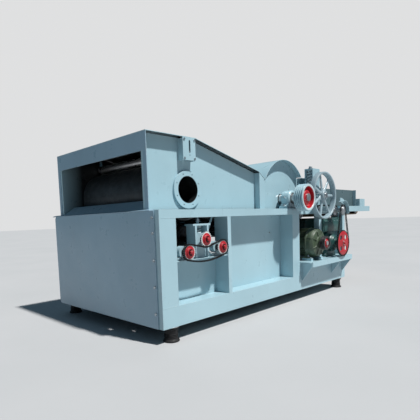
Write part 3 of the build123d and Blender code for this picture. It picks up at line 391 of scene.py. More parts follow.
for part in frame["record"]["subparts"]:
    node = frame["nodes"][part["node"]]
    for material_slot in node.material_slots:
        material_slot.link = "OBJECT"
        material_slot.material = OWN_FINISH.get(part["node"], FINISH[part["material_slot"]])


# ---------------------------------------------------------------- mesh building
def soften(points, radius, closed=False, steps=3):
    """The polyline with its corners rounded off."""
    result = []
    for i, corner in enumerate(points):
        if not closed and i in (0, len(points) - 1):
            result.append(tuple(corner))
            continue
        corner = Vector(corner)
        back = Vector(points[i - 1]) - corner
        ahead = Vector(points[(i + 1) % len(points)]) - corner
        reach = min(radius, 0.45 * back.length, 0.45 * ahead.length)
        start, end = corner + back.normalized() * reach, corner + ahead.normalized() * reach
        for k in range(steps + 1):
            t = k / steps
            result.append(tuple((1 - t) ** 2 * start + 2 * t * (1 - t) * corner + t * t * end))
    return result


def radial(centre, angle):
    """A point at (y, out, aside), turned by angle about the axis along Y through centre."""
    out, aside = Vector((cos(angle), 0, sin(angle))), Vector((-sin(angle), 0, cos(angle)))
    return lambda y, r, w: Vector((centre[0], y, centre[1])) + out * r + aside * w


class Shape:
    """A mesh being built in the row frame."""

    def __init__(self):
        self.bm = bmesh.new()

    def ring(self, origin, along, sideways, radius, count):
        up = along.cross(sideways)
        return [self.bm.verts.new(origin + radius * (cos(a) * sideways + sin(a) * up))
                for a in (2 * pi * i / count for i in range(count))]

    def skin(self, a, b):
        if len(a) == 1 and len(b) == 1:
            return
        count = max(len(a), len(b))
        for i in range(count):
            j = (i + 1) % count
            corners = [a[i % len(a)], a[j % len(a)], b[j % len(b)], b[i % len(b)]]
            self.bm.faces.new(list(dict.fromkeys(corners)))

    def loft(self, rows, caps=(0, 1)):
        """A block between two outlines of points, closed by a face at each of caps."""
        made = [[self.bm.verts.new(point) for point in row] for row in rows]
        for i in caps:
            self.bm.faces.new(made[i])
        self.skin(*made)

    def fins(self, centre, angles, section, places, caps=(0, 1)):
        """Fins along Y between two places, with their (out, aside) section in millimetres."""
        for angle in angles:
            at = radial(centre, angle)
            self.loft([[at(place, out * mm, aside * mm) for out, aside in section] for place in places], caps)

    def ribs(self, centre, angles, outline, half):
        """Flat ribs standing out from the axis, with their (along, out) outline."""
        for angle in angles:
            at = radial(centre, angle)
            self.loft([[at(place, out, aside) for place, out in outline] for aside in (-half, half)])

    def sleeve(self, rings, closed=False, caps=False):
        """Skin a row of rings, joined end to end if closed, or with a face over each end."""
        for a, b in zip(rings, rings[1:] + (rings[:1] if closed else [])):
            self.skin(a, b)
        if caps:
            self.bm.faces.new(rings[0])
            self.bm.faces.new(rings[-1])

    def round_off(self, edges, offset, profile=0.5):
        bmesh.ops.bevel(self.bm, geom=edges, offset=offset, segments=2, affect="EDGES", profile=profile)

    def cone(self, at, turn, segments, bottom, top, depth):
        return bmesh.ops.create_cone(self.bm, cap_ends=True, segments=segments, radius1=bottom, radius2=top,
                                     depth=depth, matrix=Matrix.Translation(at) @ turn)["verts"]

    def lathe(self, centre, profile, segments=64, closed=False, axis="Y"):
        """Turn (distance along the axis, radius) points about the axis through centre.
        centre is (x, z) for axis Y, (x, y) for Z and (y, z) for X."""
        along = {"X": Vector((1, 0, 0)), "Y": Vector((0, 1, 0)), "Z": Vector((0, 0, 1))}[axis]
        sideways = Vector((0, 1, 0)) if axis == "X" else Vector((1, 0, 0))
        base = {"X": Vector((0, *centre)), "Y": Vector((centre[0], 0, centre[1])),
                "Z": Vector((*centre, 0))}[axis]
        rings = []
        for place, radius in profile:
            origin = base + along * place
            if radius < 1e-6:
                rings.append([self.bm.verts.new(origin)])
            else:
                rings.append(self.ring(origin, along, sideways, radius, segments))
        self.sleeve(rings, closed)

    def box(self, low, high, bevel=2 * mm):
        low, high = Vector(low), Vector(high)
        made = bmesh.ops.create_cube(self.bm, size=1)["verts"]
        for v in made:
            v.co = Vector((low[i] + (v.co[i] + 0.5) * (high[i] - low[i]) for i in range(3)))
        edges = list({e for v in made for e in v.link_edges})
        if bevel:
            self.round_off(edges, bevel)

    def prism(self, outline, y, bevel=0.0):
        """A plate whose outline is (x, z) points, between two y."""
        rows = [[self.bm.verts.new((x, place, z)) for x, z in outline] for place in y]
        faces = [self.bm.faces.new(r) for r in rows]
        self.skin(rows[0], rows[1])
        if bevel:
            edges = list({e for f in faces for e in f.edges})
            self.round_off(edges, bevel)

    def plate(self, outlines, y, bevel):
        """A flat plate with holes: the first outline is its edge and the others are holes, all (x, z)."""
        curve = bpy.data.curves.new("outline", "CURVE")
        curve.dimensions = "2D"
        curve.fill_mode = "BOTH"
        for points in outlines:
            spline = curve.splines.new("POLY")
            spline.points.add(len(points) - 1)
            for point, (x, z) in zip(spline.points, points):
                point.co = (x, z, 0, 1)
            spline.use_cyclic_u = True
        curve.extrude = abs(y[1] - y[0]) / 2 - bevel
        curve.bevel_depth = bevel
        curve.bevel_resolution = 1
        curve.offset = -bevel
        holder = bpy.data.objects.new("outline", curve)
        mesh = bpy.data.meshes.new_from_object(holder)
        turn = Matrix.Translation((0, (y[0] + y[1]) / 2, 0)) @ Matrix.Rotation(pi / 2, 4, "X")
        mesh.transform(turn)
        self.bm.from_mesh(mesh)
        bpy.data.objects.remove(holder)
        bpy.data.curves.remove(curve)
        bpy.data.meshes.remove(mesh)

    def tube(self, path, radius, sides=10, closed=False):
        """A round rod along a list of points."""
        points = [Vector(p) for p in path]
        count = len(points)
        rings = []
        sideways = None
        for i, point in enumerate(points):
            before = points[i - 1] if (closed or i) else point
            after = points[(i + 1) % count] if (closed or i < count - 1) else point
            along = (after - before).normalized()
            if sideways is None:
                sideways = along.orthogonal()
            sideways = (sideways - along * sideways.dot(along)).normalized()
            rings.append(self.ring(point, along, sideways, radius, sides))
        self.sleeve(rings, closed, caps=not closed)

    def bolt(self, at, direction, size, washer=True, shank=0.0):
        """A hexagon head standing on a face; size is half the width over its corners."""
        direction = Vector(direction).normalized()
        at = Vector(at)
        turn = direction.to_track_quat("Z", "Y").to_matrix().to_4x4()
        lift = 0.22 * size if washer else 0.0
        if washer:
            self.cone(at + direction * lift / 2, turn, 24, 1.45 * size, 1.38 * size, lift)
        height = 1.05 * size
        head_middle = at + direction * (lift + height / 2)
        head = self.cone(head_middle, turn, 6, size, size, height)
        top = [v for v in head if (v.co - head_middle).dot(direction) > 0]
        edges = [e for v in top for e in v.link_edges if e.other_vert(v) in top]
        self.round_off(list(set(edges)), 0.16 * size, 0.6)
        if shank:
            self.cone(at + direction * (lift + height + shank / 2), turn, 20, 0.55 * size, 0.5 * size, shank)

    def thread(self, at, length, radius, pitch, axis="Z"):
        """A threaded rod, from at, along the axis."""
        ridges = int(length / pitch)
        profile = [(0.0, 0.0), (0.0, radius * 0.86)]
        for i in range(ridges):
            profile += [((i + 0.5) * pitch, radius), ((i + 1) * pitch, radius * 0.86)]
        profile += [(length, radius * 0.7), (length, 0.0)]
        start = {"X": at[0], "Y": at[1], "Z": at[2]}[axis]
        centre = {"X": (at[1], at[2]), "Y": (at[0], at[2]), "Z": (at[0], at[1])}[axis]
        self.lathe(centre, [(start + a, r) for a, r in profile], 24, axis=axis)

    def bead(self, start, end, radius=2.6 * mm, ripple=5 * mm):
        """A weld bead: a half-buried rod whose width ripples."""
        start, end = Vector(start), Vector(end)
        steps = max(4, int((end - start).length / (ripple / 2)))
        along = (end - start).normalized()
        sideways = along.orthogonal().normalized()
        rings = []
        for i in range(steps + 1):
            point = start.lerp(end, i / steps)
            swell = radius * (0.82 + 0.18 * (i % 2)) * (0.5 if i in (0, steps) else 1)
            rings.append(self.ring(point, along, sideways, swell, 8))
        self.sleeve(rings, caps=True)

    def make(self, name, body, slot, material=None, replaces=(), sharp=32):
        bmesh.ops.remove_doubles(self.bm, verts=self.bm.verts, dist=1e-6)
        bmesh.ops.recalc_face_normals(self.bm, faces=self.bm.faces)
        mesh = bpy.data.meshes.new(name)
        self.bm.to_mesh(mesh)
        self.bm.free()
        mesh.polygons.foreach_set("use_smooth", [True] * len(mesh.polygons))
        mesh.set_sharp_from_angle(angle=radians(sharp))
        mesh.materials.append(material or FINISH[slot])
        piece = bpy.data.objects.new(name, mesh)
        bpy.context.scene.collection.objects.link(piece)
        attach(piece, body)
        if replaces:
            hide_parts(*replaces)
        return piece


# ---------------------------------------------------------------- cylinder pulley
def grooves(first, pitch, count, rim, depth, end, floor_end, floor_start):
    """Outline of V grooves, last to first; the corner distances are in millimetres."""
    outline = []
    for k in reversed(range(count)):
        start = first + k * pitch
        outline += turned(start + pitch, rim, (-end, 0), (-floor_end, -depth))
        outline += turned(start, rim, (floor_start, -depth), (1.5, 0))
    return outline


def cylinder_pulley():
    low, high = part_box("cylinder_pulley")
    centre = axle("cylinder_pulley")
    front, back, rim = low.y, high.y, (high.z - low.z) / 2
    pitch = (back - front - 10 * mm) / 4
    profile = turned(back, rim, (0, -20), (0, 0)) + grooves(front + 8 * mm, pitch, 4, rim, 13, 2, 7, 6)
    profile += turned(front, rim, (3, 0), (0, -3), (1, -19))
    groove = Shape()
    groove.lathe(centre, soften(profile, 1.5 * mm), 96)
    groove.make("pulley_grooves", "cylinder", "cast", replaces=["cylinder_pulley"])

    ring = Shape()
    ring.lathe(centre, soften(turned(front, rim, (1, -2.2), (0.2, -4), (0.2, -19), (3, -21)), 1 * mm), 96)
    ring.make("pulley_face_ring", "cylinder", "cast", PALE_CAST)

    web = Shape()
    floor = front + 44 * mm
    profile = turned(back, rim, (0, -20), (0, -25)) + turned(front, rim, (2, -21), (4, -24))
    profile += turned(floor, rim, (0, -27)) + turned(floor, 0, (-4, 66), (-10, 62))
    profile += turned(front, 0, (20, 60), (15, 55), (14, 30), (10, 27))
    web.lathe(centre, soften(profile, 3 * mm), 72)
    for x, z in about(centre, 3, 43 * mm, 90):
        web.bolt((x, front + 15 * mm, z), (0, -1, 0), 5 * mm)
    web.make("pulley_hub", "cylinder", "red_enamel")

    end = Shape()
    profile = turned(front, 0, (14, 27), (7, 26), (6, 24), (8, 6), (11, 4), (11, 0))
    end.lathe(centre, soften(profile, 1.5 * mm), 48)
    end.box((centre[0] - 4 * mm, front + 6.5 * mm, centre[1] + 20 * mm),
            (centre[0] + 4 * mm, front + 16 * mm, centre[1] + 30 * mm), 0.8 * mm)
    end.make("pulley_shaft_end", "cylinder", "steel")


# ---------------------------------------------------------------- hand wheel on the upper feed roller
FIRST_SPOKE = 103
SPOKES = 7


def spoked_wheel():
    low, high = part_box("spoked_wheel")
    centre = axle("spoked_wheel")
    front, back, rim = low.y, high.y, (high.z - low.z) / 2
    wheel = Shape()
    profile = turned(front, rim, (0, 0)) + turned(back, rim, (0, 0), (0, -15), (-8, -19))
    profile += turned(front, rim, (8, -19), (0, -15))
    wheel.lathe(centre, soften(profile, 4 * mm, closed=True), 128, closed=True)
    profile = turned(front, 0, (2, 24), (2, 40), (12, 46)) + turned(back, 0, (-6, 46), (0, 40), (0, 24))
    wheel.lathe(centre, soften(profile, 3 * mm, closed=True), 64, closed=True)
    mid = (front + back) / 2 + 6 * mm
    steps = 14
    for k in range(SPOKES):
        at = radial(centre, radians(FIRST_SPOKE + k * 360 / SPOKES))
        rings = []
        for i in range(steps + 1):
            t = i / steps
            reach = 36 * mm + t * (rim - 50 * mm)
            flare = 0.35 * (max(0, 1 - t * 5) + max(0, t * 5 - 4))
            wide, deep = (17 - 6 * t) * mm * (1 + flare), (10 - 3 * t) * mm
            rings.append([wheel.bm.verts.new(at(mid + deep * sin(a), reach,
                                                wide * cos(a) * (1 - 0.18 * sin(a) ** 2)))
                          for a in turns(16, 0)])
        wheel.sleeve(rings)
    wheel.make("feed_wheel", "upper_feed", "cast", WHEEL_CAST, replaces=["spoked_wheel"])
    boss = Shape()
    boss.lathe(centre, soften(turned(front, 0, (4, 24), (-4, 23), (-6, 20), (-5, 0)), 1.5 * mm), 40)
    boss.make("feed_wheel_shaft_end", "upper_feed", "steel")


# ---------------------------------------------------------------- chains and sprockets
PITCH = 12.7 * mm
CHAIN_ROLLER_R = 4 * mm
PLATE_INNER, PLATE_OUTER, PLATE_T = 3.9 * mm, 5.3 * mm, 1.6 * mm
TOOTH_SWEEP = 2.4 * mm      # the teeth's reach past the pitch circle, with clearance
SAG = 24 * mm
DELIVERY_TEETH = FEED_TEETH = 24
CAGE_TEETH = 72
OUTPUT_TEETH = 60
CHAIN_EDGE = 5.4 * mm       # from a chain node's side to the middle of its nearest chain
DRIVE_TO_FEED = 80 * mm


def pitch_radius(teeth):
    return PITCH / (2 * sin(pi / teeth))


def tangent(a, b):
    dx, dz = b[0] - a[0], b[1] - a[1]
    step = b[3] * pitch_radius(b[2]) - a[3] * pitch_radius(a[2])
    return degrees(atan2(dz, dx) - asin(step / hypot(dx, dz)))


def run_ends(wheels, sag):
    """Directions in which each run leaves its wheel and meets the next one; the last run sags."""
    ends = []
    for i, wheel in enumerate(wheels):
        after = wheels[(i + 1) % len(wheels)]
        droop = 0.0
        if i == len(wheels) - 1:
            droop = degrees(atan2(4 * sag, hypot(after[0] - wheel[0], after[1] - wheel[1])))
        heading = tangent(wheel, after)
        ends.append((heading + droop, heading - droop))
    return ends


def seats(wheel, arrive, leave):
    x, z, teeth, sense = wheel
    step = 360 / teeth
    wrap = (sense * (leave - arrive)) % 360
    return [(x + pitch_radius(teeth) * cos(radians(a)), z + pitch_radius(teeth) * sin(radians(a)))
            for a in (arrive - 90 * sense + sense * step * i for i in range(int(wrap / step + 1e-6) + 1))]


def chain_centres(wheels, sag=0.0):
    """Roller centres of a closed chain round the wheels (x, z, teeth, sense); the last run hangs by sag."""
    count = len(wheels)
    ends = run_ends(wheels, sag)
    centres = []
    for i, (x, z, teeth, sense) in enumerate(wheels):
        radius = pitch_radius(teeth)
        on_wheel = seats(wheels[i], ends[i - 1][1], ends[i][0])
        target = seats(wheels[(i + 1) % count], ends[i][1], ends[(i + 1) % count][0])[0]
        leave = radians(ends[i][0] - 90 * sense)
        corner = (x + radius * cos(leave), z + radius * sin(leave))
        chord = hypot(corner[0] - on_wheel[-1][0], corner[1] - on_wheel[-1][1])
        rest = 2 * radius * asin(min(1.0, chord / (2 * radius)))
        drop = sag if i == count - 1 else 0.0
        span = hypot(target[0] - corner[0], target[1] - corner[1])
        length = rest + span + 8 * drop**2 / (3 * span)
        links = max(1, round(length / PITCH))
        centres += on_wheel
        for k in range(1, links):
            travelled = length * k / links
            if travelled < rest:
                angle = leave - sense * (rest - travelled) / radius
                centres.append((x + radius * cos(angle), z + radius * sin(angle)))
                continue
            t = (travelled - rest) / (length - rest)
            centres.append((corner[0] + (target[0] - corner[0]) * t,
                            corner[1] + (target[1] - corner[1]) * t - 4 * drop * t * (1 - t)))
    return centres


def link_outline(a, b, waist=0.66, half=5.9 * mm):
    """A figure-of-eight chain link between two pins."""
    length = hypot(b[0] - a[0], b[1] - a[1])
    turn = atan2(b[1] - a[1], b[0] - a[0])
    points = []
    for end, start in ((length, -90), (0.0, 90)):
        for k in range(7):
            angle = radians(start + 30 * k)
            points.append((end + half * cos(angle) * 0.98, half * sin(angle)))
        points.append((length / 2, half * waist * (1 if start == -90 else -1)))
    return [(a[0] + x * cos(turn) - z * sin(turn), a[1] + x * sin(turn) + z * cos(turn)) for x, z in points]


def chain(shape, wheels, y, sag=0.0):
    """Roller chain: inner and outer plates in turn, pin heads, and rollers clear of the turning teeth."""
    centres = chain_centres(wheels, sag)
    inner, outer, plate = PLATE_INNER, PLATE_OUTER, PLATE_T
    for i, (a, b) in enumerate(zip(centres, centres[1:] + centres[:1])):
        near = inner if i % 2 else outer
        outline = link_outline(a, b)
        for side in (-1, 1):
            shape.prism(outline, (y + side * near, y + side * (near + plate)))
        if all(hypot(a[0] - x, a[1] - z) > pitch_radius(teeth) + TOOTH_SWEEP + CHAIN_ROLLER_R
               for x, z, teeth, _ in wheels):
            shape.lathe(a, [(y - inner, 0), (y - inner, CHAIN_ROLLER_R), (y + inner, CHAIN_ROLLER_R),
                            (y + inner, 0)], 12)
        for side in (-1, 1):
            end = y + side * (outer + plate)
            tip = end + side * 0.6 * mm
            shape.lathe(a, [(end, 2.1 * mm), (tip, 1.6 * mm), (tip, 0)], 8)


def toothed(teeth, phase, tip=2 * mm):
    """Outline of a chain wheel about the origin: round seats, pointed teeth."""
    radius = pitch_radius(teeth)
    seat = CHAIN_ROLLER_R + 0.6 * mm
    points = []
    for k in range(teeth):
        middle_angle = radians(phase + 360 * k / teeth)
        for turn in (105, 140, 180, 220, 255):
            x = radius + seat * cos(radians(turn))
            z = seat * sin(radians(turn))
            points.append((x * cos(middle_angle) + z * sin(middle_angle),
                           x * sin(middle_angle) - z * cos(middle_angle)))
        for share in (0.42, 0.58):
            a = middle_angle + radians(360 / teeth) * share
            points.append(((radius + tip) * cos(a), (radius + tip) * sin(a)))
    return points


HOLE_SIDES = 28


def sprocket(name, node, body, centre, teeth, phase, y, hub, holes=0, tooth_finish=None):
    """Steel tooth ring, red web and hub, with a nut on the shaft end."""
    radius = pitch_radius(teeth)
    x, z = centre
    half = 3.5 * mm
    rim = Shape()
    outline = [(x + px, z + pz) for px, pz in toothed(teeth, phase)]
    rim.plate([outline, about(centre, 48, radius - 9 * mm)], (y - half, y + half), 0.7 * mm)
    rim.make(name + "_teeth", body, "steel", tooth_finish, replaces=[node])
    web = Shape()
    outer = about(centre, 64, radius - 8.6 * mm)
    cut = [about(hole, HOLE_SIDES, radius * 0.19) for hole in about(centre, holes, radius * 0.6, 45)]
    web.plate([outer] + cut, (y - half - 0.8 * mm, y + half + 0.8 * mm), 1 * mm)
    front, back = hub
    wide = min(30 * mm, radius * 0.58)
    web.lathe(centre, soften([(back, 20 * mm), (back, wide), (front + 2 * mm, wide), (front, wide - 3 * mm),
                              (front, 19 * mm)], 2 * mm), 48)
    if holes:
        web.lathe(centre, soften([(y - half - 0.4 * mm, radius * 0.36), (y - half - 3 * mm, radius * 0.34),
                                  (y - half - 3 * mm, wide)], 1.5 * mm), 64)
    web.bolt((x, front + 2 * mm, z), (0, -1, 0), 13 * mm, shank=2 * mm)
    for bolt_x, bolt_z in about(centre, 3, wide - 6.5 * mm, 30):
        web.bolt((bolt_x, front + 0.5 * mm, bolt_z), (0, -1, 0), 3.2 * mm, washer=False)
    web.make(name + "_web", body, "red_enamel")


def chain_drives():
    left, press, right = axle("left_sprocket"), axle("press_sprocket"), axle("right_sprocket")
    lower, head = axle("lower_feed_roller"), axle("head_roller")
    drive_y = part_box("feed_chains")[0].y + CHAIN_EDGE
    front_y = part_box("roller_chains")[0].y + CHAIN_EDGE
    front_wheels = [(*left, DELIVERY_TEETH, -1), (*press, DELIVERY_TEETH, 1), (*right, DELIVERY_TEETH, -1)]
    cage_wheels = [(*axle("cage_shell"), CAGE_TEETH, 1), (*right, DELIVERY_TEETH, 1)]
    feed_wheels = [(*lower, FEED_TEETH, 1), (*head, FEED_TEETH, 1)]
    drive_wheels = [(*axle("output_sprocket"), OUTPUT_TEETH, 1), (*head, FEED_TEETH, 1)]

    delivery_chain = Shape()
    chain(delivery_chain, front_wheels, front_y, SAG)
    chain(delivery_chain, cage_wheels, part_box("roller_chains")[1].y - CHAIN_EDGE)
    delivery_chain.make("delivery_chains", "frame", "dark_steel", replaces=["roller_chains"])
    feed_chain = Shape()
    chain(feed_chain, drive_wheels, drive_y)
    chain(feed_chain, feed_wheels, drive_y + DRIVE_TO_FEED)
    feed_chain.make("feed_drive_chains", "frame", "dark_steel", replaces=["feed_chains"])

    def phase(wheels, index, sag=0.0):
        return run_ends(wheels, sag)[index - 1][1] - 90 * wheels[index][3]

    low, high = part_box("left_sprocket")
    for i, (name, centre) in enumerate((("left", left), ("press", press), ("right", right))):
        sprocket(f"{name}_sprocket", f"{name}_sprocket", f"{name}_delivery", centre, DELIVERY_TEETH,
                 phase(front_wheels, i, SAG), front_y, (low.y, high.y), tooth_finish=TOOTH_STEEL)
    low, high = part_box("output_sprocket")
    sprocket("output_wheel", "output_sprocket", "reducer_output", axle("output_sprocket"), OUTPUT_TEETH,
             phase(drive_wheels, 0), drive_y, (low.y, high.y), holes=4, tooth_finish=FINISH["dark_steel"])


# ---------------------------------------------------------------- springs and their screws
COIL_SIDES = 28


def springs():
    """Coil springs, each given its own mesh; the adjusting screws above them stand still on the frame."""
    plans = (("press", 20 * mm, 3 * mm, 4, 12 * mm, "roller_stands", 9 * mm, 38 * mm, 14 * mm),
             ("feed", 25 * mm, 5 * mm, 8, 20 * mm, "spring_columns", 11 * mm, 34 * mm, 17 * mm))
    for name, radius, wire, coils, travel, seat, screw, below, nut in plans:
        node = f"{name}_springs"
        low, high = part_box(node)
        x = (low.x + high.x) / 2
        top, bottom = high.z - wire, low.z + wire
        for side, y in (("drive", low.y + (radius + wire)), ("plain", high.y - (radius + wire))):
            path = []
            count = coils * COIL_SIDES
            for i in range(count + 1):
                t = i / count
                rise = min(1.0, max(0.0, (t * coils - 0.75) / (coils - 1.5)))
                angle = 2 * pi * coils * t
                path.append((x + radius * cos(angle), y + radius * sin(angle),
                             bottom + (top - bottom) * rise))
            coil = Shape()
            coil.tube(path, wire * 0.94, 12)
            piece = coil.make(f"{name}_spring_{side}", "frame", "steel", PALE_CAST,
                              replaces=[node] if side == "drive" else ())
            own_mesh(piece)
            top_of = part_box(seat)[1].z
            start = top_of - below
            screws = Shape()
            screws.bolt((x, y, start + 12 * mm), (0, 0, 1), nut)
            screws.thread((x, y, start + 12 * mm), top_of - start - 12.5 * mm, screw, 2.5 * mm)
            screws.make(f"{name}_adjusting_screw_{side}", "frame", "bolt")


# ---------------------------------------------------------------- bearings
BLOCK_LENGTH = 90 * mm


def cylinder_bearings():
    low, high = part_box("cylinder_bearings")
    x, z = axle("cylinder_shaft")
    base = low.z
    half_foot = [(90, 0), (90, 20), (72, 27), (60, 44)]
    foot = [(x + a * mm, base + b * mm) for a, b in half_foot + [(-a, b) for a, b in reversed(half_foot)]]
    foot = foot[-1:] + foot[:-1]
    for side, name in ((-1, "drive"), (1, "plain")):
        y_in, y_out = (high.y - BLOCK_LENGTH, high.y) if side > 0 else (low.y, low.y + BLOCK_LENGTH)
        mid = (y_in + y_out) / 2
        block = Shape()
        block.prism(foot, (mid - 40 * mm, mid + 40 * mm), 2.5 * mm)
        body = turned(y_in, 0, (3, 46), (1, 56), (12, 68)) + turned(y_out, 0, (-12, 68), (-1, 56), (-3, 46))
        block.lathe((x, z), soften(body, 4 * mm), 72)
        block.prism([(x - 64 * mm, base + 22 * mm), (x + 64 * mm, base + 22 * mm), (x + 64 * mm, z - 4 * mm),
                     (x - 64 * mm, z - 4 * mm)], (mid - 30 * mm, mid + 30 * mm), 4 * mm)
        for near in (-80 * mm, 56 * mm):
            block.box((x + near, mid - 20 * mm, z - 7 * mm), (x + near + 24 * mm, mid + 20 * mm, z + 7 * mm),
                      3 * mm)
        block.make(f"cylinder_plummer_block_{name}", "frame", "cast",
                   replaces=["cylinder_bearings"] if side < 0 else ())
        cap = Shape()
        for face, out in ((y_in, -1), (y_out, 1)):
            profile = turned(face, 0, (-out * 3, 47), (-out * 0.5, 46), (-out * 0.5, 41), (-out * 4, 40.4))
            cap.lathe((x, z), soften(profile, 1 * mm), 56)
        cap.make(f"cylinder_bearing_seal_{name}", "frame", "dark_steel", BLACK_CAST)
        bolts = Shape()
        for dx in (-70 * mm, 70 * mm):
            bolts.bolt((x + dx, mid, z + 7 * mm), (0, 0, 1), 8 * mm)
        nipple = turned(0, 0, (0, 4), (5, 4), (6, 2.2), (10, 2.2), (12, 3), (14, 1.4), (14, 0))
        bolts.lathe((x, mid), [(z + 67 * mm + a, r) for a, r in soften(nipple, 0.4 * mm)], 16, axis="Z")
        bolts.make(f"cylinder_bearing_bolts_{name}", "frame", "bolt")


# ---------------------------------------------------------------- feet
FOOT_R = 52 * mm


def feet():
    low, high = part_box("feet")
    places = [(x, y) for x in (low.x + FOOT_R, high.x - FOOT_R) for y in (low.y + FOOT_R, high.y - FOOT_R)]
    body = turned(high.z, 0, (-4, 0), (-4, 49), (-12, 50), (-20, 42), (-52, 38))
    body += turned(0, 0, (18, 42), (10, 50), (3, 52), (0.2, 49), (0, 44), (2, 40), (2, 0))
    for index, place in enumerate(places, 1):
        foot = Shape()
        foot.lathe(place, soften(body, 4 * mm), 64, axis="Z")
        for k in range(3):
            ridge = turned(26 * mm + k * 9 * mm, 0, (0, 39), (1.5, 43), (3.5, 43), (5, 39))
            foot.lathe(place, soften(ridge, 1 * mm), 64, axis="Z")
        foot.make(f"foot_{index}", "frame", "rubber", replaces=["feet"] if index == 1 else ())
        plate = Shape()
        disc = turned(high.z, 0, (-4, 0), (-4, 51), (-0.2, 51), (-0.2, 0))
        plate.lathe(place, soften(disc, 1 * mm), 48, axis="Z")
        plate.make(f"foot_plate_{index}", "frame", "steel")


# ---------------------------------------------------------------- main motor
BARREL_FINS = 38


def motor():
    centre = x, z = axle("motor_shaft")
    low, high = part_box("motor_body")
    front, back, base = low.y, high.y, low.z
    nose, bell_end, cowl = front - 20 * mm, front + 74 * mm, back - 90 * mm
    barrel = Shape()
    barrel.lathe(centre, turned(bell_end, 0, (-4, 60), (-4, 117)) + turned(cowl, 0, (6, 117), (6, 60)), 96)
    clear = [a for a in turns(BARREL_FINS) if abs(sin(a) + 1) >= 0.12 and abs(cos(a) + 1) >= 0.05]
    barrel.fins(centre, clear, ((112, -3.2), (132.5, -1.4), (132.5, 1.4), (112, 3.2)),
                (bell_end + 1 * mm, cowl - 1 * mm))
    barrel.make("motor_barrel", "frame", "olive_enamel", replaces=["motor_body"])

    bell = Shape()
    profile = turned(bell_end, 0, (0, 100), (0, 133), (-16, 134.5), (-20, 131)) + turned(front, 0, (22, 129))
    profile += turned(nose, 0, (16, 116), (10, 66), (2, 58), (0, 50), (0, 22), (12, 20))
    bell.lathe(centre, soften(profile, 6 * mm), 96)
    rib = turned(nose, 0, (4, 56), (8, 108)) + turned(front, 0, (14, 131))
    bell.ribs(centre, turns(8), rib + turned(bell_end, 0, (-22, 132), (-22, 60)), 3.5 * mm)
    bell.make("motor_end_bell", "frame", "olive_enamel")
    rim = Shape()
    rim.lathe(centre, soften(turned(bell_end, 0, (-15, 133), (-15, 135), (-2, 135), (-2, 133)), 0.8 * mm), 96)
    for bolt_x, bolt_z in about(centre, 4, 120 * mm, 45):
        rim.bolt((bolt_x, front + 38 * mm, bolt_z), (0, -1, 0), 7 * mm)
    rim.make("motor_bell_rim", "frame", "olive_enamel")

    fan = Shape()
    profile = turned(cowl, 0, (-8, 122), (-8, 126)) + turned(back, 0, (-22, 126), (-4, 112), (-2, 96))
    fan.lathe(centre, soften(profile, 6 * mm), 96)
    for k in range(5):
        ring = turned(back, 96 * mm - k * 17 * mm, (-3, 0), (-1.2, -2), (-3, -4), (-5, -2))
        fan.lathe(centre, ring, 64, closed=True)
    for spoke in zip(about(centre, 10, 20 * mm), about(centre, 10, 96 * mm)):
        fan.tube([(a, back - 3 * mm, b) for a, b in spoke], 1.8 * mm, 8)
    fan.make("motor_fan_cowl", "frame", "olive_enamel")
    blades = Shape()
    blades.lathe(centre, turned(back, 0, (-30, 0), (-30, 92), (-26, 92), (-26, 0)), 48)
    blades.fins(centre, turns(8, 0), ((20, -1.5), (90, -1.5), (90, 1.5), (20, 1.5)),
                (back - 26 * mm, back - 10 * mm), caps=(1,))
    blades.make("motor_fan", "frame", "dark_steel", BLACK_CAST)

    mount, bolts = Shape(), Shape()
    for side in (-1, 1):
        near, far = sorted((x + side * 72 * mm, x + side * 108 * mm))
        mount.box((near, front + 42 * mm, base), (far, front + 320 * mm, base + 15 * mm), 3 * mm)
        gusset = [(x + side * 76 * mm, base + 14 * mm), (x + side * 102 * mm, base + 14 * mm),
                  (x + side * 90 * mm, z - 70 * mm), (x + side * 70 * mm, z - 84 * mm)]
        for start in (front + 60 * mm, front + 270 * mm):
            mount.prism(gusset, (start, start + 30 * mm), 2 * mm)
        for place in (front + 52 * mm, front + 308 * mm):
            bolts.bolt((x + side * 92 * mm, place, base + 15 * mm), (0, 0, 1), 9 * mm, shank=6 * mm)
    mount.make("motor_feet", "frame", "olive_enamel")
    bolts.make("motor_foot_bolts", "frame", "bolt")

    box = Shape()
    box.box((low.x + 2 * mm, front + 142 * mm, z + 12 * mm), (low.x + 40 * mm, front + 258 * mm, z + 82 * mm),
            5 * mm)
    box.box((low.x + 0.5 * mm, front + 138 * mm, z + 8 * mm),
            (low.x + 10 * mm, front + 262 * mm, z + 86 * mm), 3 * mm)
    gland = turned(low.x, 0, (12, 0), (12, 11), (30, 11), (30, 0))
    box.lathe((front + 200 * mm, z + 2 * mm), gland, 24, axis="X")
    box.make("motor_terminal_box", "frame", "olive_enamel")
    eye = Shape()
    loop = [(a, front + 190 * mm, b) for a, b in about((x, z + 116 * mm), 24, 13 * mm)]
    eye.tube(loop, 4 * mm, 10, closed=True)
    eye.make("motor_lifting_eye", "frame", "steel")


